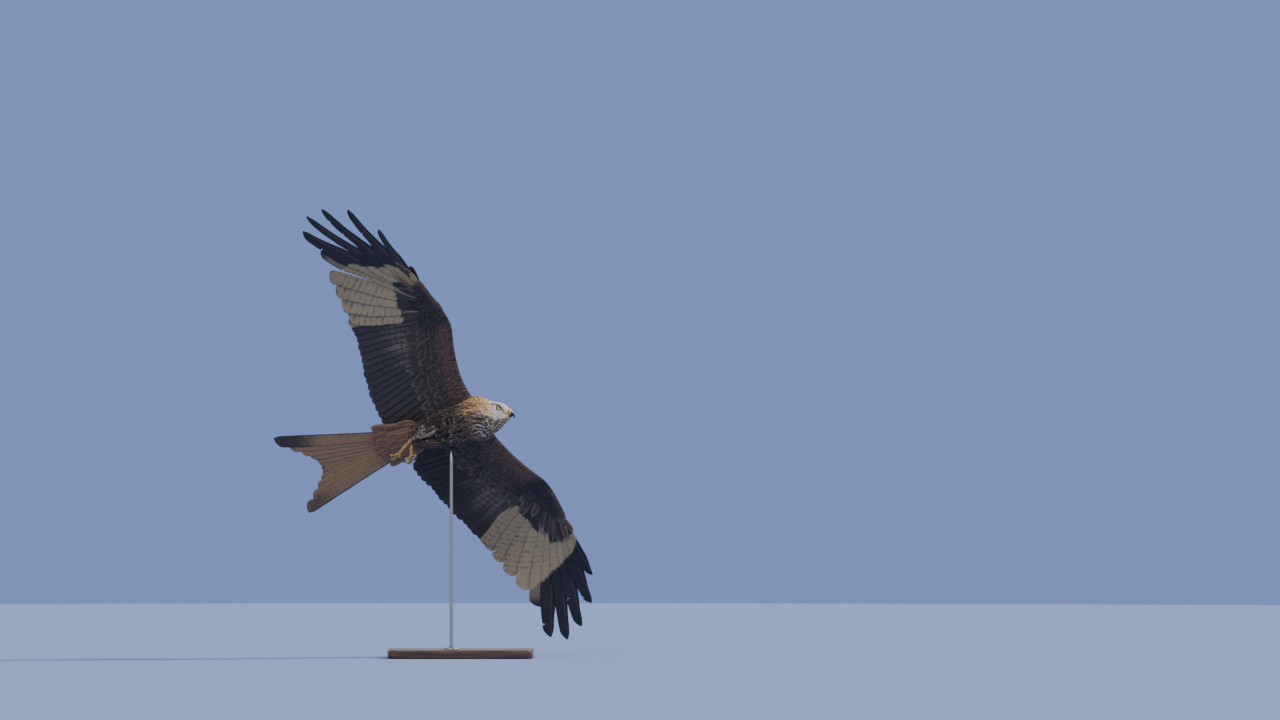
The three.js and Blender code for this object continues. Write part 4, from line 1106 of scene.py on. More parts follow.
def alula(wing, material):
    """The four stiff feathers of the thumb."""
    rng = np.random.default_rng(61)
    quills = []
    for n in range(4):
        root = WRIST + [6, 2]
        tip = wing.hand_tip + [-16 + 4.5 * n, 4 - 15 * n]
        widths = outline_widths([[t, 0.35 * a, 0.7 * b] for t, a, b in OUTLINES["scapular"]], FEATHER_END)
        made = quill(
            wing.place, root, tip, widths, rng,
            bow=0.015, slope=0.06, lead_side=-1, lift=4.5 + 0.9 * n, splits=0, shaft=0.9,
        )
        quills.append((made, wing_look(wing, "tertial", n, rng)))
    return flight_piece(f"Alula_{wing.name}", quills, material, "wing_brown", wing.side < 0)


# Tail
TAIL_TURN = Matrix(rotation(8, 0.8, 0.9).tolist()).to_quaternion()
TAIL_PAIRS = 6
TAIL_SLOPE = 0.09
# Length and spread of the middle and the outermost feather, and the share of the length over which
# the tip rounds off
TAIL_LENGTHS, TAIL_SPREAD, TAIL_END = (264, 362), (1.6, 14), 0.05
# Rows of tail coverts: start behind the root, length, width and count
TAIL_COVERT_ROWS = ((6, 112, 24, 13), (16, 86, 21, 13), (26, 62, 18, 12), (34, 44, 16, 12))


def tail_place(x, y, z):
    """Tail plan to bird: x runs back from the joint, y to the left."""
    x, y, z = np.broadcast_arrays(np.asarray(x, float), np.asarray(y, float), np.asarray(z, float))
    away = np.maximum(0, -x)
    point = np.stack([x, y * (1 + 0.0004 * away), z - 2.2e-4 * y * y], axis=-1)
    axis, angle = TAIL_TURN.to_axis_angle()
    axis = np.array(axis)
    turn = (smooth(away / 60) * angle)[..., None]
    side = np.cross(axis, point)
    onto = axis * (point @ axis)[..., None]
    point = point * np.cos(turn) + side * np.sin(turn) + onto * (1 - np.cos(turn))
    return point + [TAIL_JOINT, 0, TAIL_ROOT_HEIGHT]


TAIL_BELOW = shade("8b6f4f")
TAIL_BELOW_BASE = shade("805f43")
TAIL_BELOW_DARK = shade("37302f")
TAIL_ABOVE = shade("a5683e")
TAIL_ABOVE_DARK = shade("4d3122")


def tail_look(n, side, rng):
    tone = rng.uniform(0.95, 1.05)

    def look(u, v, top, spots):
        web = np.abs(2 * u - 1)
        outer = (u < 0.5) * web
        tip = smooth((v - 0.84) / 0.16)
        last = n == TAIL_PAIRS - 1
        dark = np.clip(0.55 * tip + (0.85 if last else 0.12) * smooth((outer - 0.2) / 0.5), 0, 1)
        if last:
            dark = np.maximum(dark, (0.85 if side < 0 else 0.65) * smooth((v - 0.4) / 0.5))
        base = smooth((0.5 - v) / 0.4)
        below = mix(TAIL_BELOW, TAIL_BELOW_BASE, base[:, None]) * tone
        above = TAIL_ABOVE * np.ones((len(u), 1)) * tone
        rim = mix(below, above, top[:, None])
        core = mix(TAIL_BELOW_DARK, TAIL_ABOVE_DARK, top[:, None])
        return core, rim, 1 - dark, mix(0.09 + 0.1 * last, 0.2, top)

    return look


def tail_feathers(material):
    rng = np.random.default_rng(71)
    quills = {1: [], -1: []}
    for side in (1, -1):
        for n in range(TAIL_PAIRS):
            share = n / (TAIL_PAIRS - 1)
            length = mix(*TAIL_LENGTHS, share**1.9)
            angle = np.radians(mix(*TAIL_SPREAD, share))
            outer, inner = mix(15, 7, share), mix(17, 27, share)
            root = np.array([-10, side * mix(3, 27, share)])
            tip = np.array([-10 - length * np.cos(angle), root[1] + side * length * np.sin(angle)])
            rows = [
                [0, 2, 2.5], [0.12, outer * 0.7, inner * 0.7], [0.6, outer, inner],
                [0.94, outer * 0.95, inner], [1, outer * 0.5, inner * 0.7],
            ]
            made = quill(
                tail_place, root, tip, outline_widths(rows, TAIL_END), rng,
                bow=0, slope=TAIL_SLOPE, lead_side=-side,
                lift=1.2 if n == 0 and side > 0 else 0.0, splits=int(rng.integers(1, 3)), shaft=1.6,
            )
            quills[side].append((made, tail_look(n, side, rng)))
    return [
        flight_piece(f"Tail_{name}", quills[side], material, "tail_rufous", side > 0)
        for name, side in (("left", 1), ("right", -1))
    ]


def tail_coverts(material):
    """Rows of long soft feathers over and under the tail root."""
    rng = np.random.default_rng(81)
    groups = []
    for layer in (1, -1):
        def surface(x, y, height, layer=layer):
            half = mix(37, 56, smooth(-x / 60))
            depth = mix(13, 4.5, smooth(-x / 100)) * np.sqrt(np.clip(1 - (y / half) ** 2, 0.12, 1))
            return tail_place(x, y, layer * (depth + height))

        for start, length, width, count in TAIL_COVERT_ROWS:
            share = np.linspace(-1, 1, count)
            spread = (38 if layer < 0 else 31) * share - 5 * np.abs(share)
            root = np.stack([np.full(count, start - 6.0), spread], axis=-1)
            angle = share * 0.26 + rng.normal(0, 0.03, count)
            way = np.stack([-np.cos(angle), np.sin(angle)], axis=-1)
            across = np.stack([-way[:, 1], way[:, 0]], axis=-1) * layer
            # The upper coverts are painted darker, the outer ones most: painted shade against the rim lamp that
            # lights them
            rim = linear("7b5f4c") if layer < 0 else linear("7d543a")
            core = linear("6a5140") if layer < 0 else linear("5c3d2b")
            tone = rng.normal(1, 0.08, (count, 1)) * (1 - 0.5 * share**2 * (layer > 0))[:, None]
            groups.append(("covert", surface, {
                "root": root, "along": way, "across": across,
                "length": length * rng.uniform(0.92, 1.06, count) * (1 - 0.16 * np.abs(share)),
                "width": np.full(count, float(width)), "low": np.full(count, -1.5),
                "high": 0.4 + rng.normal(0, 0.2, count), "cup": np.full(count, 0.05),
                "bend": rng.normal(0, 0.02, count), "flip": layer < 0,
                "bake": np.stack(
                    [0.5 + share * 0.4, np.full(count, 0.25 + 0.25 * layer + start / 100)], axis=-1
                ),
                "core": core * tone, "rim": rim * tone, "streak": rng.normal(0.3, 0.05, count),
            }))
    return leaf_piece("Tail_coverts", groups, material, "tail_rufous")


# Legs and feet
LEGS = {
    "right": [(-92, -24, -24), (-170, -20, -44), (-211, -4, -74)],
    "left": [(-90, 27, -24), (-176, -6, -36), (-180, 10, -77)],
}
TARSUS_RADIUS, TOE_RADIUS, TOE_STEPS = 4.8, 3.7, 36
TALON_LENGTH, TALON_CURL, TALON_STEPS = 17.0, 64, 32
# How far down the shank a trouser feather's root counts as one step of the map, in millimetres
TROUSER_REACH = 52.0
# Each toe, hind toe first: place across the foot, length and curl in degrees
TOES = [(0, 20, -95), (-1, 27, 150), (0, 35, 165), (1, 26, 150)]


def axis_turn(v, axis, angle):
    return v * np.cos(angle) + np.cross(axis, v) * np.sin(angle) + axis * (v @ axis) * (1 - np.cos(angle))


def toe_path(name, toe):
    """Points of a toe's middle line, the way it ends and the axis it bends about."""
    fan, length, curl = TOES[toe]
    _, heel, foot = (np.array(p, float) for p in LEGS[name])
    back = unit(foot - heel)
    side = unit(np.array([0, 1.0, 0]) - back * back[1])
    down = np.cross(back, side)
    down = down if down[2] < 0 else -down
    place = foot + side * fan * 3.2 + back * 3
    way = unit(back * (-0.1 if toe == 0 else 1) + side * fan * 0.32 + down * (1 if toe == 0 else 0.25))
    hinge = side * (-1 if toe == 0 else 1)
    points = []
    for k in range(TOE_STEPS + 1):
        points.append(place)
        place = place + way * length / TOE_STEPS
        way = axis_turn(way, hinge, np.radians(curl / TOE_STEPS) * (0.4 if k < TOE_STEPS / 6 else 1))
    return np.array(points), way, hinge


def shank_line(name):
    hip, heel, _ = (np.array(p, float) for p in LEGS[name])
    knee = mix(hip, heel, 0.45)
    return lookup([[0, *hip], [0.45, *knee], [1, *heel]])


SHANK_RADIUS = lookup([[0, 9], [0.2, 15], [0.35, 16.5], [0.55, 13.5], [0.78, 9.5], [1, 6.5]])


# Materials
class Graph:
    """A material's nodes, with short calls for what they do."""

    def __init__(self, name):
        self.material = bpy.data.materials.new(name)
        self.material.use_nodes = True
        self.tree = self.material.node_tree
        self.shader = self.tree.nodes["Principled BSDF"]

    def add(self, kind, **settings):
        node = self.tree.nodes.new(kind)
        for key, value in settings.items():
            setattr(node, key, value)
        return node

    def put(self, socket, value):
        if isinstance(value, bpy.types.NodeSocket):
            self.tree.links.new(value, socket)
        else:
            socket.default_value = value

    def math(self, operation, *values):
        node = self.add("ShaderNodeMath", operation=operation)
        for socket, value in zip(node.inputs, values):
            self.put(socket, value)
        return node.outputs[0]

    def steps(self, value, low, high):
        """0 below low, 1 above high, smooth between."""
        node = self.add("ShaderNodeMapRange", interpolation_type="SMOOTHSTEP")
        self.put(node.inputs["Value"], value)
        self.put(node.inputs["From Min"], low)
        self.put(node.inputs["From Max"], high)
        return node.outputs["Result"]

    def attribute(self, name, output="Color"):
        return self.add("ShaderNodeAttribute", attribute_name=name).outputs[output]

    def uv(self, name):
        node = self.add("ShaderNodeUVMap", uv_map=name)
        parts = self.add("ShaderNodeSeparateXYZ")
        self.put(parts.inputs[0], node.outputs[0])
        return parts.outputs["X"], parts.outputs["Y"]

    def noise(self, scale, detail=2.0, vector=None, stretch=None, roughness=0.5):
        node = self.add("ShaderNodeTexNoise")
        node.inputs["Scale"].default_value = scale
        node.inputs["Detail"].default_value = detail
        node.inputs["Roughness"].default_value = roughness
        if vector is None:
            vector = self.add("ShaderNodeTexCoord").outputs["Object"]
        if stretch is not None:
            mapping = self.add("ShaderNodeMapping")
            self.put(mapping.inputs["Vector"], vector)
            mapping.inputs["Scale"].default_value = stretch
            vector = mapping.outputs[0]
        self.put(node.inputs["Vector"], vector)
        return node.outputs["Fac"]

    def paint(self, colour):
        """What a colour socket takes: another socket, a hex colour or three numbers."""
        if isinstance(colour, bpy.types.NodeSocket):
            return colour
        return (*(linear(colour) if isinstance(colour, str) else colour), 1)

    def blend(self, a, b, factor, mode="MIX"):
        node = self.add("ShaderNodeMix", data_type="RGBA", blend_type=mode)
        self.put(node.inputs["Factor"], factor)
        self.put(node.inputs[6], self.paint(a))
        self.put(node.inputs[7], self.paint(b))
        return node.outputs[2]

    def grey(self, value):
        node = self.add("ShaderNodeCombineColor")
        for socket in node.inputs[:3]:
            self.put(socket, value)
        return node.outputs[0]

    def bump(self, height, strength, distance):
        node = self.add("ShaderNodeBump")
        node.inputs["Strength"].default_value = strength
        node.inputs["Distance"].default_value = distance
        self.put(node.inputs["Height"], height)
        self.put(self.shader.inputs["Normal"], node.outputs[0])

    def surface(self, colour, roughness=0.8, specular=0.3, sheen=0.0, **more):
        self.put(self.shader.inputs["Base Color"], self.paint(colour))
        self.shader.inputs["Roughness"].default_value = roughness
        self.shader.inputs["Specular IOR Level"].default_value = specular
        self.shader.inputs["Sheen Weight"].default_value = sheen
        for key, value in more.items():
            self.put(self.shader.inputs[key.replace("_", " ")], value)
        return self.material


def coat_material():
    """Body feathers and coverts: a dark middle, a paler rim and fine barbs."""
    g = Graph("Kite_coat")
    u, v = g.uv("Vane")
    across = g.math("ABSOLUTE", g.math("MULTIPLY_ADD", u, 2.0, -1.0))
    rough = g.noise(420, 2)
    edge = g.math("MULTIPLY_ADD", rough, 0.5, g.math("SUBTRACT", across, 0.25))
    tip = g.steps(g.math("MULTIPLY_ADD", rough, 0.16, v), 0.9, 1.04)
    rim = g.math("MAXIMUM", g.steps(g.math("SUBTRACT", edge, g.attribute("streak", "Fac")), -0.12, 0.16), tip)
    colour = g.blend(g.attribute("core"), g.attribute("rim"), rim)
    slant = g.math("SUBTRACT", g.math("MULTIPLY", v, 120.0), g.math("MULTIPLY", across, 34.0))
    barbs = g.math("SINE", g.math("MULTIPLY_ADD", rough, 5.0, slant))
    shade = g.math("MULTIPLY_ADD", barbs, 0.09, 0.97)
    shaft = g.math("SUBTRACT", 1.0, g.math("MULTIPLY", g.steps(across, 0.09, 0.02), 0.35))
    colour = g.blend(colour, g.grey(g.math("MULTIPLY", shade, shaft)), 1.0, "MULTIPLY")
    g.bump(g.math("MULTIPLY_ADD", barbs, 0.4, g.noise(900, 2)), 0.5, 0.0006)
    return g.surface(colour, roughness=0.72, specular=0.22, sheen=0.06)


def vane_material(name, bars_each=40.0):
    """Flight and tail feathers: pale and dark stretches, bars across, barbs and a horny shaft."""
    g = Graph(name)
    u, v = g.uv("Vane")
    across = g.math("ABSOLUTE", g.math("MULTIPLY_ADD", u, 2.0, -1.0))
    grain = g.noise(150, 3)
    fine = g.noise(620, 2)
    size = g.attribute("size", "Fac")
    run = g.math("MULTIPLY", v, size)
    wander = g.math("MULTIPLY_ADD", grain, 7.0, g.math("MULTIPLY", across, -1.6))
    wave = g.math("MULTIPLY_ADD", run, bars_each, wander)
    bars = g.steps(g.math("SINE", wave), 0.15, 0.85)
    patchy = g.math("MULTIPLY", g.attribute("bars", "Fac"), g.steps(g.noise(75, 2), 0.36, 0.6))
    bars = g.math("MULTIPLY", bars, patchy)
    ragged = g.math("ADD", g.attribute("show", "Fac"), g.math("MULTIPLY_ADD", grain, 0.5, -0.25))
    pale = g.steps(ragged, 0.12, 0.62)
    pale = g.math("MULTIPLY", pale, g.math("SUBTRACT", 1.0, bars))
    colour = g.blend(g.attribute("core"), g.attribute("rim"), pale)
    slant = g.math("SUBTRACT", g.math("MULTIPLY", run, 210.0), g.math("MULTIPLY", across, 44.0))
    barbs = g.math("SINE", g.math("MULTIPLY_ADD", fine, 4.0, slant))
    shade = g.math("MULTIPLY_ADD", barbs, 0.07, 0.98)
    colour = g.blend(colour, g.grey(shade), 1.0, "MULTIPLY")
    shaft = g.steps(across, 0.035, 0.012)
    colour = g.blend(colour, g.blend(colour, "6f6459", 0.3), shaft)
    g.bump(g.math("MULTIPLY_ADD", barbs, 0.5, fine), 0.4, 0.0005)
    return g.surface(colour, roughness=0.5, specular=0.35)


def skin_material():
    """The skin under the coat, in the coat's own colours."""
    g = Graph("Kite_skin")
    mottle = g.noise(300, 3)
    colour = g.blend(g.attribute("core"), g.attribute("rim"), g.steps(mottle, 0.35, 0.7))
    g.bump(mottle, 0.6, 0.001)
    return g.surface(colour, roughness=0.85, specular=0.15)


def scale_material(name, colour, dark, scale=260.0):
    """Bare scaled skin."""
    g = Graph(name)
    node = g.add("ShaderNodeTexVoronoi", feature="DISTANCE_TO_EDGE")
    node.inputs["Scale"].default_value = scale
    cells = g.steps(node.outputs["Distance"], 0.0, 0.1)
    patch = g.noise(180, 3)
    tint = g.blend(colour, dark, g.math("MULTIPLY", g.steps(patch, 0.38, 0.66), 0.8))
    tint = g.blend(dark, tint, g.math("MULTIPLY_ADD", cells, 0.55, 0.45))
    g.bump(g.math("ADD", cells, g.math("MULTIPLY", patch, 0.4)), 0.6, 0.0006)
    return g.surface(tint, roughness=0.48, specular=0.45)


def horn_material():
    """Black horn, a little worn and streaked along its length."""
    g = Graph("Kite_horn")
    streaks = g.noise(90, 4)
    colour = g.blend("141314", "3a3430", g.math("MULTIPLY", g.steps(streaks, 0.5, 0.8), 0.7))
    g.bump(g.noise(500, 3), 0.15, 0.0004)
    return g.surface(colour, roughness=0.3, specular=0.5)


def bill_material():
    """Yellow cere that gives way to black horn at the tip, with painted shade in the nostrils."""
    g = Graph("Kite_bill")
    patch = g.noise(260, 3)
    along = g.attribute("along", "Fac")
    horn = g.steps(g.math("MULTIPLY_ADD", patch, 2.4, along), 35.6, 39.4)
    cere = g.blend("d3b274", "ab8450", g.steps(patch, 0.4, 0.7))
    colour = g.blend(cere, "1a1717", horn)
    # The nostril is painted dark brown: painted shade inside the opening, which the mesh only dents
    colour = g.blend(colour, "2a1d14", g.attribute("nostril_dent_and_shade", "Fac"))
    g.bump(g.noise(700, 3), 0.25, 0.0004)
    return g.surface(colour, roughness=0.34, specular=0.5)


def eye_material():
    """Pale yellow iris with fine rays, a dark ring, a black pupil and a wet front."""
    g = Graph("Kite_eye")
    _, v = g.uv("Iris")
    rays = g.noise(38, 3, vector=g.add("ShaderNodeUVMap", uv_map="Iris").outputs[0], stretch=(1.0, 0.18, 1.0))
    iris = g.blend("f0e5ae", "c0a963", g.steps(rays, 0.42, 0.68))
    iris = g.blend(iris, "6f5a34", g.steps(v, 0.2, 0.235))
    colour = g.blend("050505", iris, g.steps(v, 0.108, 0.118))
    colour = g.blend(colour, "191310", g.steps(v, 0.245, 0.262))
    return g.surface(colour, roughness=0.1, specular=0.3, Coat_Weight=0.35, Coat_Roughness=0.02)


def wood_material():
    """Dark polished wood with long grain."""
    g = Graph("Stand_wood")
    grain = g.noise(22, 6, stretch=(0.35, 5.5, 5.5), roughness=0.62)
    lines = g.noise(70, 4, stretch=(0.25, 7, 7))
    colour = g.blend("33201a", "6d4733", g.steps(grain, 0.3, 0.72))
    colour = g.blend(colour, "22140f", g.math("MULTIPLY", g.steps(lines, 0.55, 0.72), 0.7))
    g.bump(lines, 0.15, 0.0005)
    return g.surface(colour, roughness=0.34, specular=0.45, Coat_Weight=0.35, Coat_Roughness=0.2)


def steel_material():
    """Grey brushed steel."""
    g = Graph("Stand_steel")
    lines = g.noise(160, 3, stretch=(6, 6, 0.3))
    tint = g.blend("8d9096", "b3b5b9", lines)
    g.bump(lines, 0.12, 0.0002)
    return g.surface(tint, roughness=0.33, Metallic=1.0)


def felt_material():
    """Dark felt under the base."""
    g = Graph("Stand_felt")
    fuzz = g.noise(900, 3)
    g.bump(fuzz, 0.8, 0.0006)
    return g.surface(g.blend("1f2622", "2d3631", fuzz), roughness=0.95, specular=0.1)


MATERIALS = {}


def material(key, make):
    """A material, made the first time that it is asked for."""
    if key not in MATERIALS:
        MATERIALS[key] = make()
    return MATERIALS[key]


# Settings that a user would change
LENGTH = {"subtype": "DISTANCE", "unit": "LENGTH"}
SHARE = {"default": 1.0, "subtype": "FACTOR"}


class CoatSettings(bpy.types.PropertyGroup):
    """Plumage of the body."""

    density: FloatProperty(
        name="Density", description="Feathers round the body, as a share of the usual number",
        min=0.4, max=2.0, **SHARE
    )
    skin_depth: FloatProperty(
        name="Coat depth", description="Depth of the coat over the skin, as a share of the usual depth",
        min=0.5, max=1.5, **SHARE
    )


class StageSettings(bpy.types.PropertyGroup):
    """Floor, light and camera."""

    floor_colour: FloatVectorProperty(
        name="Floor", description="Colour of the floor",
        default=linear("778cc0"), size=3, min=0, max=1, subtype="COLOR"
    )
    backdrop_colour: FloatVectorProperty(
        name="Backdrop", description="Colour behind the bird",
        default=(0.2, 0.292, 0.66), size=3, min=0, max=1, subtype="COLOR"
    )
    distance: FloatProperty(
        name="Camera distance", description="Distance from the camera to the bird",
        default=40.0, min=5, max=200, **LENGTH
    )
    picture_width: FloatProperty(
        name="Picture width", description="Width that the picture covers at the bird",
        default=3.52, min=0.5, max=10, **LENGTH
    )
    picture_columns: IntProperty(
        name="Picture columns", description="Width of the picture in pixels",
        default=1280, min=64
    )


class StandSettings(bpy.types.PropertyGroup):
    """Base and rod."""

    base_length: FloatProperty(
        name="Base length", description="Length of the base",
        default=0.4, min=0.2, max=0.8, **LENGTH
    )
    base_width: FloatProperty(
        name="Base width", description="Width of the base",
        default=0.32, min=0.2, max=0.8, **LENGTH
    )
    base_corner: FloatProperty(
        name="Corner", description="Radius of the base's corners",
        default=0.03, min=0.0, max=0.1, **LENGTH
    )
    edge: FloatProperty(
        name="Edge", description="Rounding of the base's top edge",
        default=0.003, min=0.0005, max=0.01, **LENGTH
    )


class KITE_OT_skin(bpy.types.Operator):
    """Build the skin of torso, neck, head, arms and tail root as one closed surface"""

    bl_idname = "kite.skin"
    bl_label = "Skin"

    def execute(self, context):
        settings = context.scene.kite_coat
        rows = np.arange(0, len(BODY_SURFACE.points), 2)
        front = BODY_SURFACE.length - rows * BODY_SURFACE.step
        depth = COAT_DEPTH(front) * settings.skin_depth
        rings = BODY_SURFACE.points[rows] - BODY_SURFACE.normals[rows] * depth[:, None, None]
        a = circle(ROUND)[None] + np.zeros((len(rows), 1))
        core, rim = plumage(np.broadcast_to(front[:, None], a.shape), a, in_head(rings))
        points, faces = tube_piece(rings[:, ::-1])
        core, rim = (
            np.concatenate([c[:, ::-1].reshape(-1, 3), c[[0, -1], 0]]) for c in (core, rim)
        )
        u = np.concatenate([np.tile(np.linspace(0.01, 0.49, ROUND), len(rows)), [0.25, 0.25]])
        v = np.concatenate([np.repeat(np.linspace(0.01, 0.99, len(rows)), ROUND), [0.01, 0.99]])
        flat = np.stack([u, v], axis=-1)
        meshes = [new_mesh("Trunk", points, faces, {"core": core, "rim": rim}, {"OFBake": flat})]
        for place, (rings, dark, pale) in enumerate(self.limbs()):
            points, faces = tube_piece(rings)
            if enclosed(points, faces) < 0:
                faces = turned_over(faces)
            low, size = rings.reshape(-1, 3).min(axis=0), np.ptp(rings.reshape(-1, 3), axis=0)
            flat = (points - low)[:, :2] / size[:2] * [0.46, 0.14] + [0.52, 0.01 + 0.163 * place]
            core, rim = (np.tile(linear(code), (len(points), 1)) for code in (dark, pale))
            meshes.append(new_mesh("Limb", points, faces, {"core": core, "rim": rim}, {"OFBake": flat}))
        skin = piece_of(united("Skin", meshes), material("skin", skin_material), "plumage_brown")
        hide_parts("torso", "neck", "head")
        return {"FINISHED"}

    def limbs(self):
        """Rings of each limb of the skin, with its two colours."""
        for wing in WINGS.values():
            y = np.linspace(-24, 372, 90)
            angle = circle(28)
            share = (1 + np.cos(angle))[None] / 2
            x = mix(CORE_REAR(y)[:, None], wing.front(y)[:, None] - 2, share)
            thick = CORE_THICKNESS(y)[:, None] * 0.86
            z = np.sin(angle)[None] * thick / 2 * (0.3 + 0.7 * smooth(share * 1.3)) + thick * 0.06
            yield wing.place(x, y[:, None], z), "241d1c", "3d2c26"
        # The chin's skin, in the chin's colours painted dark as shade under the bill
        x = np.linspace(CHIN[0][0] - 5, CHIN[-1][0] + 0.8, 24)[:, None]
        angle = circle(28)
        yield chin_at(x + 0 * angle, 0 * x + angle, np.full((24, 28), -0.8)), SHADED_CHIN_CORE, SHADED_CHIN_RIM
        for name in LEGS:
            t = np.linspace(0, 1, 24)
            yield rings_along(shank_line(name)(t), SHANK_RADIUS(t) * 0.82, 20), "2e2526", "564843"
        x = np.linspace(2, -74, 20)
        shape = lookup([[-76, 44, 1.5, 1.5], [-50, 44, 4.5, 5], [-24, 37, 7.5, 9], [0, 31, 11, 13]])(x)
        up = np.sin(angle)[None]
        high = np.where(up > 0, shape[:, 1:2], shape[:, 2:3]) * up
        yield tail_place(x[:, None], shape[:, :1] * np.cos(angle)[None], high), "4e3c38", "67504a"


class KITE_OT_body_coat(bpy.types.Operator):
    """Cover torso, neck and head with small overlapping feathers"""

    bl_idname = "kite.body_coat"
    bl_label = "Body feathers"

    def execute(self, context):
        look = context.scene.kite_coat
        coat = material("coat", coat_material)
        for name, first, last, kind, slot, seed in (
            ("Coat_head", 0.6, 56, "hackle", "plumage_grey", 1),
            ("Coat_neck", 56, 112, "hackle", "plumage_rufous", 2),
            ("Coat_torso", 112, BODY_SURFACE.length + 4, "contour", "plumage_brown", 3),
        ):
            spots = body_feathers(np.random.default_rng(seed), first, last, look)
            groups = [(kind, BODY_SURFACE.at, spots)]
            if first < 1:
                groups.append(("hackle", chin_at, chin_feathers(np.random.default_rng(4))))
            leaf_piece(name, groups, coat, slot)
        return {"FINISHED"}


def eye_ball(side):
    """A sphere whose map holds the angle round the gaze and the angle away from it."""
    gaze = unit(np.array([0.3, 0.95 * side, 0.06]))
    up = np.array([0, 0, 1.0])
    right = unit(np.cross(gaze, up))
    over = np.cross(right, gaze)
    away = np.concatenate([np.linspace(0, 0.5, 28), np.linspace(0.5, np.pi / 2, 14)[1:]])
    away = np.concatenate([away, np.pi - away[::-1][1:]])
    angle = circle(48)
    bulge = 1 + 0.035 * np.exp(-((away / 0.75) ** 4))
    spread = np.sin(away)[:, None, None] * (
        right * np.cos(angle)[None, :, None] + over * np.sin(angle)[None, :, None]
    )
    ball = (spread + np.cos(away)[:, None, None] * gaze) * (EYE_RADIUS * 0.97 * bulge)[:, None, None]
    centre = EYE_PLACE * [1, side, 1]
    rings = HEAD_PLACE + (ball + centre) @ HEAD_TURN.T
    uv = np.stack(np.broadcast_arrays(angle[None] / (2 * np.pi), away[:, None] / np.pi), axis=-1)
    return rings, uv


# Half width and half height of the opening between the lids, how far the brow flattens it, its slant,
# and the points round the opening and round the lid's own section
EYE_OPENING, BROW_FLAT, EYE_SLANT = (6.1, 5.2), 0.24, np.radians(8)
LID_POINTS, LID_SECTION = 72, 12


class KITE_OT_eyes(bpy.types.Operator):
    """Build the eyes and their lids"""

    bl_idname = "kite.eyes"
    bl_label = "Eyes"

    def execute(self, context):
        for name, side in (("left", 1), ("right", -1)):
            rings, uv = eye_ball(side)
            points, faces = tube_piece(rings)
            flat = np.concatenate([uv.reshape(-1, 2), [[0, 0], [0, 1]]])
            faces = turned_over(faces)
            look = material("eye", eye_material)
            eye = mesh_piece(f"Eye_{name}", points, faces, look, "iris", uvs={"Iris": flat})
            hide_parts(f"eye_{name}")
            angle = circle(LID_POINTS)
            x = EYE_OPENING[0] * np.cos(angle)
            z = EYE_OPENING[1] * np.sin(angle) * (1 - BROW_FLAT * (np.sin(angle) > 0))
            px, pz = turned(x, z, (0, 0), EYE_SLANT)
            depth = np.sqrt(np.maximum(EYE_RADIUS**2 - px**2 - pz**2, 1)) + 0.15
            line = np.stack([px, side * depth, pz], axis=-1)
            out = unit(np.stack([px, np.zeros_like(px), pz], axis=-1))
            bulk = 0.75 + 0.6 * smooth(np.sin(angle) * 1.5)
            section = circle(LID_SECTION)
            sideways = np.array([0, side, 0.0])
            rims = line[:, None] + (
                out[:, None] * (np.cos(section) + 0.6)[None, :, None] * 0.95
                + sideways * np.sin(section)[None, :, None] * 0.8
            ) * bulk[:, None, None]
            rims = HEAD_PLACE + (rims + EYE_PLACE * [1, side, 1]) @ HEAD_TURN.T
            rims = np.concatenate([rims, rims[:1]])
            quads = grid_faces(len(rims), LID_SECTION, closed=True, flip=side < 0)
            look = material("lid", lambda: scale_material("Kite_lid", "3a332b", "171412", 700))
            mesh_piece(
                f"Lid_{name}", rims[:LID_POINTS].reshape(-1, 3), [quads % (LID_POINTS * LID_SECTION)],
                look, "skin_yellow",
            )
        return {"FINISHED"}


# Rows of the bill in the head's frame: forward, up, tilt in degrees, half width, half height
UPPER_BILL = [
    [HEAD_FRONT - 1.2, 4.6, 0, 11.3, 9.9], [HEAD_FRONT + 1.5, 4.5, 3, 10.8, 9.6], [30, 4, 8, 9.6, 9],
    [36, 1.6, 19, 7.5, 7.4], [41.4, -2.2, 38, 5.1, 5.1], [45.2, -6.6, 60, 3.3, 3.2],
    [47.1, -11.2, 78, 1.8, 1.7], [47.6, -15, 88, 0.35, 0.35],
]
LOWER_BILL = [
    [HEAD_FRONT - 1.2, -9.8, 0, 8.9, 4.7], [31, -9.0, 0, 7.2, 4.4],
    [37, -8.4, 3, 5, 3.6], [40.6, -8.9, 6, 2.6, 1.8],
]


# Place of the slit nostril, forward and up
NOSTRIL = (29.5, 2.6)
# The gape falls back from the bill: its height at the front, its slope and its half width by place
GAPE_HEIGHT, GAPE_SLOPE = -5.8, -0.21
GAPE_WIDTH = ([7, 12, 16, 20, 24, 27, 31], [22, 19.8, 17.6, 15.2, 12.6, 10.4, 7.8])


def bill_rings(rows, count, columns, ridge):
    """Rings of a mandible, pinched towards its ridge, and the distance forward of each point."""
    keyed = lookup([[i, *row] for i, row in enumerate(rows)])
    found = keyed(np.linspace(0, len(rows) - 1, count))
    angle = circle(columns)
    up = np.sin(angle)
    pinch = 1 - 0.28 * np.clip(up * ridge, 0, 1) ** 2
    rings = []
    for x, z, tilt, wide, high in found:
        c, s = np.cos(np.radians(tilt)), np.sin(np.radians(tilt))
        y = wide * np.cos(angle) * pinch
        h = high * up
        rings.append(np.stack([x + h * s, y, z + h * c], axis=-1))
    rings = np.array(rings)
    return rings, rings[..., 0] - 0.25 * (rings[..., 2] < -9)


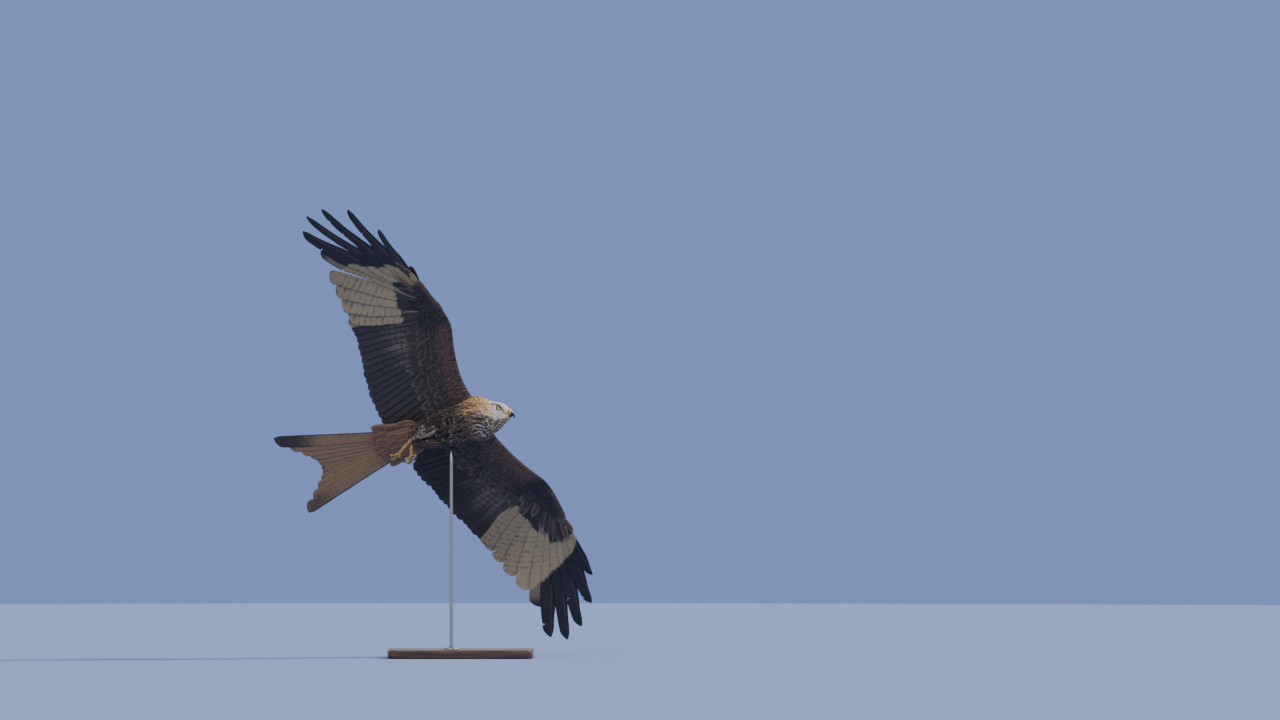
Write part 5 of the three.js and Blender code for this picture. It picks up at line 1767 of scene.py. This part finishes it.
class KITE_OT_bill(bpy.types.Operator):
    """Build the bill with its cere and nostrils, and the gape"""

    bl_idname = "kite.bill"
    bl_label = "Bill"

    def execute(self, context):
        look = material("bill", bill_material)
        rings, forward = bill_rings(UPPER_BILL, 60, 56, 1)
        side = np.abs(rings[..., 1])
        ahead, up = rings[..., 0] - NOSTRIL[0], rings[..., 2] - NOSTRIL[1]
        slit = ahead * 0.82 + up * 0.57, up * 0.82 - ahead * 0.57
        # The nostril slit: a shallow dent, painted dark as the shade inside it
        nostril_dent_and_shade = np.exp(-((slit[0] / 1.9) ** 2) - (slit[1] / 0.95) ** 2) * (side > 3)
        swell = 0.5 * np.exp(-(((rings[..., 0] - 27.5) / 4) ** 2)) * smooth((side - 2) / 3)
        sign = np.sign(rings[..., 1])
        rings[..., 1] += sign * (swell - 1.6 * nostril_dent_and_shade)
        points, faces = tube_piece(HEAD_PLACE + rings @ HEAD_TURN.T)
        colours = {
            "along": np.concatenate([forward.ravel(), [0, 48]]),
            "nostril_dent_and_shade": np.concatenate([smooth(nostril_dent_and_shade.ravel() * 1.6), [0, 0]]),
        }
        upper = mesh_piece("Bill_upper", points, turned_over(faces), look, "horn_black", colours)
        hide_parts("bill_upper")
        rings, forward = bill_rings(LOWER_BILL, 30, 40, -1)
        points, faces = tube_piece(HEAD_PLACE + rings @ HEAD_TURN.T)
        colours = {"along": np.concatenate([forward.ravel() + 4.5, [0, 46]]), "nostril_dent_and_shade": np.zeros(len(points))}
        lower = mesh_piece("Bill_lower", points, turned_over(faces), look, "horn_black", colours)
        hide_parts("bill_lower")
        parts = []
        for sign in (1, -1):
            x = np.linspace(HEAD_FRONT + 7, 7, 40)
            z = GAPE_HEIGHT + GAPE_SLOPE * (HEAD_FRONT - x)
            wide = np.interp(x, *GAPE_WIDTH)
            line = HEAD_PLACE + np.stack([x, sign * wide, z], axis=-1) @ HEAD_TURN.T
            radius = 0.85 * np.sqrt(np.clip((x - 6.5) / 5, 0.05, 1)) * np.clip((32 - x) / 4, 0.2, 1)
            parts.append(tube_piece(rings_along(line, radius, 12)))
        points, faces = joined(parts)
        look = material("gape", lambda: scale_material("Kite_gape", "8f6c48", "4c3626", 600))
        mesh_piece("Gape", points, turned_over(faces), look, "skin_yellow")
        return {"FINISHED"}


class KITE_OT_wings(bpy.types.Operator):
    """Build the flight feathers, thumb feathers and coverts of both wings"""

    bl_idname = "kite.wings"
    bl_label = "Wings"

    def execute(self, context):
        vane = material("vane", lambda: vane_material("Kite_vane"))
        coat = material("coat", coat_material)
        for wing in WINGS.values():
            flight = flight_feathers(wing, vane)
            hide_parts(f"wing_{wing.name}")
            alula(wing, vane)
            for layer in (1, -1):
                wing_coverts(wing, layer, coat)
        return {"FINISHED"}


class KITE_OT_tail(bpy.types.Operator):
    """Build the forked tail and its coverts"""

    bl_idname = "kite.tail"
    bl_label = "Tail"

    def execute(self, context):
        made = tail_feathers(material("tail", lambda: vane_material("Kite_tail", 34.0)))
        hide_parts("tail")
        tail_coverts(material("coat", coat_material))
        return {"FINISHED"}


class KITE_OT_legs(bpy.types.Operator):
    """Build the feathered shanks, scaled feet and talons"""

    bl_idname = "kite.legs"
    bl_label = "Legs"

    def execute(self, context):
        scales = material("scales", lambda: scale_material("Kite_foot", "b9985e", "4f3a22"))
        horn = material("horn", horn_material)
        for name in LEGS:
            _, heel, foot = (np.array(p, float) for p in LEGS[name])
            line = shank_line(name)
            t = np.linspace(0, 1, 60)
            start = line(np.array(0.8))
            tarsus = lookup([[0, *start], [0.35, *heel], [1, *(foot + unit(foot - heel) * 1.5)]])
            scutes = 1 + 0.05 * np.abs(np.sin(t * np.pi * 13))
            radii = np.interp(t, [0, 0.25, 0.5, 0.8, 1], [4.6, 4.6, TARSUS_RADIUS, TARSUS_RADIUS, 5.4]) * scutes
            points, faces = tube_piece(rings_along(tarsus(t), radii, 28))
            leg = mesh_piece(f"Leg_{name}", points, turned_over(faces), scales, "skin_yellow")
            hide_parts(f"leg_{name}")
            parts = []
            back = unit(foot - heel)
            t = np.linspace(0, 1, 20)
            palm = foot + back * mix(-2.5, 10, t)[:, None]
            bulk = np.interp(t, [0, 0.15, 0.45, 0.8, 1], [3.5, 5.4, 6.7, 6.2, 2.5])
            parts.append(tube_piece(rings_along(palm, bulk, 28)))
            for toe in range(4):
                points, _, hinge = toe_path(name, toe)
                t = np.linspace(0, 1, len(points))
                pads = 1 + 0.1 * np.cos(t * np.pi * (6 if toe == 2 else 4))
                pads = pads + 0.03 * np.abs(np.sin(t * np.pi * 16))
                radii = TOE_RADIUS * mix(0.98, 0.84, t) * pads
                radii[-1] *= 0.86
                parts.append(tube_piece(rings_along(points, radii, 22, up=hinge)))
            points, faces = joined(parts)
            foot_piece = mesh_piece(f"Foot_{name}", points, turned_over(faces), scales, "skin_yellow")
            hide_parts(f"foot_{name}")
            for toe in range(4):
                points, way, hinge = toe_path(name, toe)
                curl = np.sign(TOES[toe][2])
                place, line_points = points[-1] - way * 1.0, []
                for _ in range(TALON_STEPS + 1):
                    line_points.append(place)
                    place = place + way * (TALON_LENGTH + 1) / TALON_STEPS
                    way = axis_turn(way, hinge, np.radians(TALON_CURL / TALON_STEPS) * curl)
                t = np.linspace(0, 1, TALON_STEPS + 1)
                radii = np.interp(t, [0, 0.25, 0.5, 0.75, 1], [2.75, 2.35, 1.75, 1.05, 0.2])
                points, faces = tube_piece(rings_along(line_points, radii, 20, up=hinge))
                claw = mesh_piece(f"Talon_{name}_{toe + 1}", points, turned_over(faces), horn, "horn_black")
                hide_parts(f"talon_{name}_{toe + 1}")
            self.trousers(name)
        return {"FINISHED"}

    def trousers(self, name):
        """Soft feathers down the shank."""
        line = shank_line(name)
        rng = np.random.default_rng(91 if name == "left" else 92)

        def surface(t, a, height):
            shape = np.shape(t)
            flat = np.ravel(t)
            middle = line(flat)
            way = unit(line(flat + 0.01) - line(flat - 0.01) + 1e-9)
            left = unit(np.cross(np.array([0, 0, 1.0]), way))
            over = np.cross(way, left)
            angle = np.ravel(a)[:, None]
            radius = (SHANK_RADIUS(np.clip(flat, 0, 1)) * 0.82 + np.ravel(height))[:, None]
            extra = np.maximum(flat - 1, 0)[:, None] * TROUSER_REACH * way
            return (middle + extra + (left * np.cos(angle) + over * np.sin(angle)) * radius).reshape(*shape, 3)

        keys = {k: [] for k in ("root", "along", "across", "length", "width")}
        for t in np.arange(0.02, 0.9, 0.065):
            radius = float(SHANK_RADIUS(np.array(t)))
            count = max(7, int(2 * np.pi * radius / 5))
            a = (np.arange(count) + rng.uniform(0, 1)) / count * 2 * np.pi
            keys["root"].append(np.stack([np.full(count, t) + rng.normal(0, 0.012, count), a], axis=-1))
            keys["along"].append(np.tile([1 / TROUSER_REACH, 0], (count, 1)))
            keys["across"].append(np.tile([0, -1 / radius], (count, 1)))
            keys["length"].append(rng.uniform(20, 27, count) * (1 - 0.3 * t))
            keys["width"].append(rng.uniform(8, 11, count) * (1 - 0.3 * t))
        spots = {k: np.concatenate(v) for k, v in keys.items()}
        down, around = spots["root"].T
        count = len(down)
        tone = rng.normal(1, 0.14, (count, 1))
        pale = rng.random(count) < (0.5 if name == "right" else 0.03)
        pale = (pale * rng.uniform(0.3, 0.85, count))[:, None]
        core = mix(shade("2e2526"), PALE_STREAK * 0.5, 0.6 * pale)
        rim = mix(shade("564843"), DOWN_WHITE, pale)
        spots.update({
            "low": np.full(count, -0.6), "high": rng.uniform(1.8, 3.2, count),
            "cup": np.full(count, FEATHER_CUP), "bend": rng.normal(0, 0.05, count),
            "bake": np.stack([round_share(around), np.clip(down, 0, 1)], axis=-1) * 0.98 + 0.01,
            "core": core * tone, "rim": rim * tone, "streak": rng.normal(0.4, 0.07, count),
        })
        coat = material("coat", coat_material)
        leaf_piece(f"Shank_coat_{name}", [("contour", surface, spots)], coat, "plumage_brown")


def world_piece(name, points, faces, look, slot, smooth_faces=True):
    """An object of row-frame points in metres."""
    bird = (np.asarray(points) / MM - BODY_PLACE) @ BIRD_TURN
    return mesh_piece(name, bird, faces, look, slot, smooth_faces=smooth_faces)


def lathe(profile, centre, columns):
    """Points and faces of a closed profile turned about an upright axis."""
    angle = circle(columns)
    profile = np.asarray(profile, float)
    rings = np.stack([
        centre[0] + profile[:, :1] * np.cos(angle), centre[1] + profile[:, :1] * np.sin(angle),
        np.broadcast_to(profile[:, 1:], (len(profile), columns)),
    ], axis=-1)
    return tube_piece(rings)


# In metres: the underside of the wood, the top of the felt below it, and the gap round the rod
BASE_FOOT, FELT_TOP, COLLAR_GAP = 0.0015, 0.0018, 0.0003


class KITE_OT_stand(bpy.types.Operator):
    """Build the base, collar and rod"""

    bl_idname = "kite.stand"
    bl_label = "Stand"

    def execute(self, context):
        look = context.scene.kite_stand
        low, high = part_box("stand_base")
        middle, top = (low + high) / 2, high.z
        corner = look.base_corner
        half = np.array([look.base_length / 2 - corner, look.base_width / 2 - corner])
        turns = np.linspace(0, np.pi / 2, 14)
        outline = []
        for sx, sy, start in ((1, 1, 0), (-1, 1, 90), (-1, -1, 180), (1, -1, 270)):
            angle = turns + np.radians(start)
            outline.append(half * (sx, sy) + corner * np.stack([np.cos(angle), np.sin(angle)], axis=-1))
        outline = np.concatenate(outline)
        round_ = np.linspace(0, np.pi / 2, 9)
        rise = [BASE_FOOT, BASE_FOOT + 0.001, *(top - look.edge + look.edge * np.sin(round_))]
        inset = [0.001, 0.0, *(look.edge * (1 - np.cos(round_)))]
        size = np.array([look.base_length, look.base_width])

        def layer(z, scale):
            return np.column_stack([outline * scale + [middle.x, middle.y], np.full(len(outline), z)])

        points, faces = tube_piece(np.array([layer(z, 1 - back / (size / 2)) for z, back in zip(rise, inset)]))
        wood = material("wood", wood_material)
        base = world_piece("Stand_base", points, turned_over(faces), wood, "base_wood")
        for polygon in base.data.polygons:
            polygon.use_smooth = abs(polygon.normal.z) < 0.98 and len(polygon.vertices) == 4
        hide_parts("stand_base")
        points, faces = tube_piece(np.array([layer(0.0, 0.965), layer(FELT_TOP, 0.97)]))
        felt = material("felt", felt_material)
        world_piece("Stand_felt", points, turned_over(faces), felt, "base_wood", False)
        steel = material("steel", steel_material)
        low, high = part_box("stand_rod")
        centre = ((low.x + high.x) / 2, (low.y + high.y) / 2)
        radius = (high.x - low.x) / 2
        heights = [top - 0.004, top + 0.01, *np.linspace(top + 0.02, high.z, 12)]
        profile = [[radius, z] for z in heights]
        points, faces = lathe(profile, centre, 48)
        rod = world_piece("Stand_rod", points, turned_over(faces), steel, "rod_steel")
        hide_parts("stand_rod")
        low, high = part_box("stand_collar")
        wide, tall = (high.x - low.x) / 2, high.z - low.z
        profile = [
            [radius + COLLAR_GAP, low.z - 0.0002], [wide - 0.0004, low.z - 0.0002],
            [wide, low.z + 0.0004], [wide, low.z + 0.002],
            [wide - 0.0008, low.z + 0.0033], [wide - 0.003, low.z + 0.0042], [radius + 0.005, low.z + 0.0049],
            [radius + 0.003, low.z + tall * 0.82], [radius + 0.0022, low.z + tall],
            [radius + COLLAR_GAP, low.z + tall],
        ]
        points, faces = lathe(profile, centre, 72)
        collar = world_piece("Stand_collar", points, turned_over(faces), steel, "rod_steel")
        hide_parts("stand_collar")
        return {"FINISHED"}


# Stage
FLOOR_RADIUS = 9.0
# Light of the sky: its colour and its strength
SKY_LIGHT, SKY_STRENGTH = (0.86, 0.91, 1.0, 1), 0.55
SENSOR_WIDTH, CLIP = 36.0, (1.0, 200.0)
CAMERA_AIM = Vector((BODY_PLACE[0] * MM + 0.459, BODY_PLACE[1] * MM, BODY_PLACE[2] * MM + 0.165))
# Sun lamps: where each shines from, its strength, its spread in degrees and its colour
LIGHTS = (
    ("Key", (-0.35, -1.0, 0.85), 1.5, 60, (1.0, 0.98, 0.95)),
    ("Fill", (0.9, -0.8, 0.25), 0.45, 90, (0.95, 0.97, 1.0)),
    ("Rim", (0.8, 0.22, 0.66), 4.6, 14, (1.0, 0.86, 0.7)),
)


class KITE_OT_stage(bpy.types.Operator):
    """Set the floor, the soft lights and the camera"""

    bl_idname = "kite.stage"
    bl_label = "Stage"

    def execute(self, context):
        look = context.scene.kite_stage
        g = Graph("Stage_floor")
        tint = tuple(look.floor_colour)
        pale = g.blend(tint, tuple(c * 1.03 for c in tint), g.noise(0.7, 2))
        floor_material = g.surface(pale, roughness=0.9, specular=0.1)
        mesh = bpy.data.meshes.new("Floor")
        angle = circle(96)
        points = [(FLOOR_RADIUS * np.cos(a), FLOOR_RADIUS * np.sin(a), 0.0) for a in angle]
        mesh.from_pydata(points, [], [tuple(range(len(points)))])
        mesh.materials.append(floor_material)
        floor = bpy.data.objects.new("Floor", mesh)
        context.scene.collection.objects.link(floor)
        world = bpy.data.worlds.new("Studio")
        world.use_nodes = True
        nodes, links = world.node_tree.nodes, world.node_tree.links
        light = nodes["Background"]
        light.inputs["Color"].default_value = SKY_LIGHT
        light.inputs["Strength"].default_value = SKY_STRENGTH
        seen = nodes.new("ShaderNodeBackground")
        seen.inputs["Color"].default_value = (*look.backdrop_colour, 1)
        both, path = nodes.new("ShaderNodeMixShader"), nodes.new("ShaderNodeLightPath")
        links.new(path.outputs["Is Camera Ray"], both.inputs[0])
        links.new(light.outputs[0], both.inputs[1])
        links.new(seen.outputs[0], both.inputs[2])
        links.new(both.outputs[0], nodes["World Output"].inputs["Surface"])
        context.scene.world = world
        for name, origin, strength, spread, colour in LIGHTS:
            light = bpy.data.lights.new(name, "SUN")
            light.energy, light.angle, light.color = strength, np.radians(spread), colour
            lamp = bpy.data.objects.new(name, light)
            lamp.rotation_euler = (-Vector(origin)).to_track_quat("-Z", "Y").to_euler()
            context.scene.collection.objects.link(lamp)
        camera = bpy.data.cameras.new("Camera")
        camera.sensor_width = SENSOR_WIDTH
        camera.lens = camera.sensor_width * look.distance / look.picture_width
        camera.clip_start, camera.clip_end = CLIP
        eye = bpy.data.objects.new("Camera", camera)
        eye.location = CAMERA_AIM - Vector((0, look.distance, 0))
        eye.rotation_euler = (np.pi / 2, 0, 0)
        context.scene.collection.objects.link(eye)
        context.scene.camera = eye
        return {"FINISHED"}


OPERATORS = (
    KITE_OT_skin, KITE_OT_body_coat, KITE_OT_eyes, KITE_OT_bill, KITE_OT_wings,
    KITE_OT_tail, KITE_OT_legs, KITE_OT_stand, KITE_OT_stage,
)


class KITE_PT_panel(bpy.types.Panel):
    """Lists the pieces of the kite."""

    bl_label = "Red kite"
    bl_idname = "KITE_PT_panel"
    bl_space_type = "VIEW_3D"
    bl_region_type = "UI"
    bl_category = "Kite"

    def draw(self, context):
        for operator in OPERATORS:
            self.layout.operator(operator.bl_idname)
        for group in (context.scene.kite_coat, context.scene.kite_stand, context.scene.kite_stage):
            for key in group.__annotations__:
                self.layout.prop(group, key)


SETTINGS = {"kite_coat": CoatSettings, "kite_stand": StandSettings, "kite_stage": StageSettings}
CLASSES = (*SETTINGS.values(), *OPERATORS, KITE_PT_panel)
WINGS = {name: Wing(name) for name in ("left", "right")}


def register():
    for cls in CLASSES:
        bpy.utils.register_class(cls)
    for key, cls in SETTINGS.items():
        setattr(bpy.types.Scene, key, PointerProperty(type=cls))


def unregister():
    for key in SETTINGS:
        delattr(bpy.types.Scene, key)
    for cls in reversed(CLASSES):
        bpy.utils.unregister_class(cls)


def main():
    register()
    for operator in OPERATORS:
        group, name = operator.bl_idname.split(".")
        getattr(getattr(bpy.ops, group), name)()


if __name__ == "__main__":
    main()
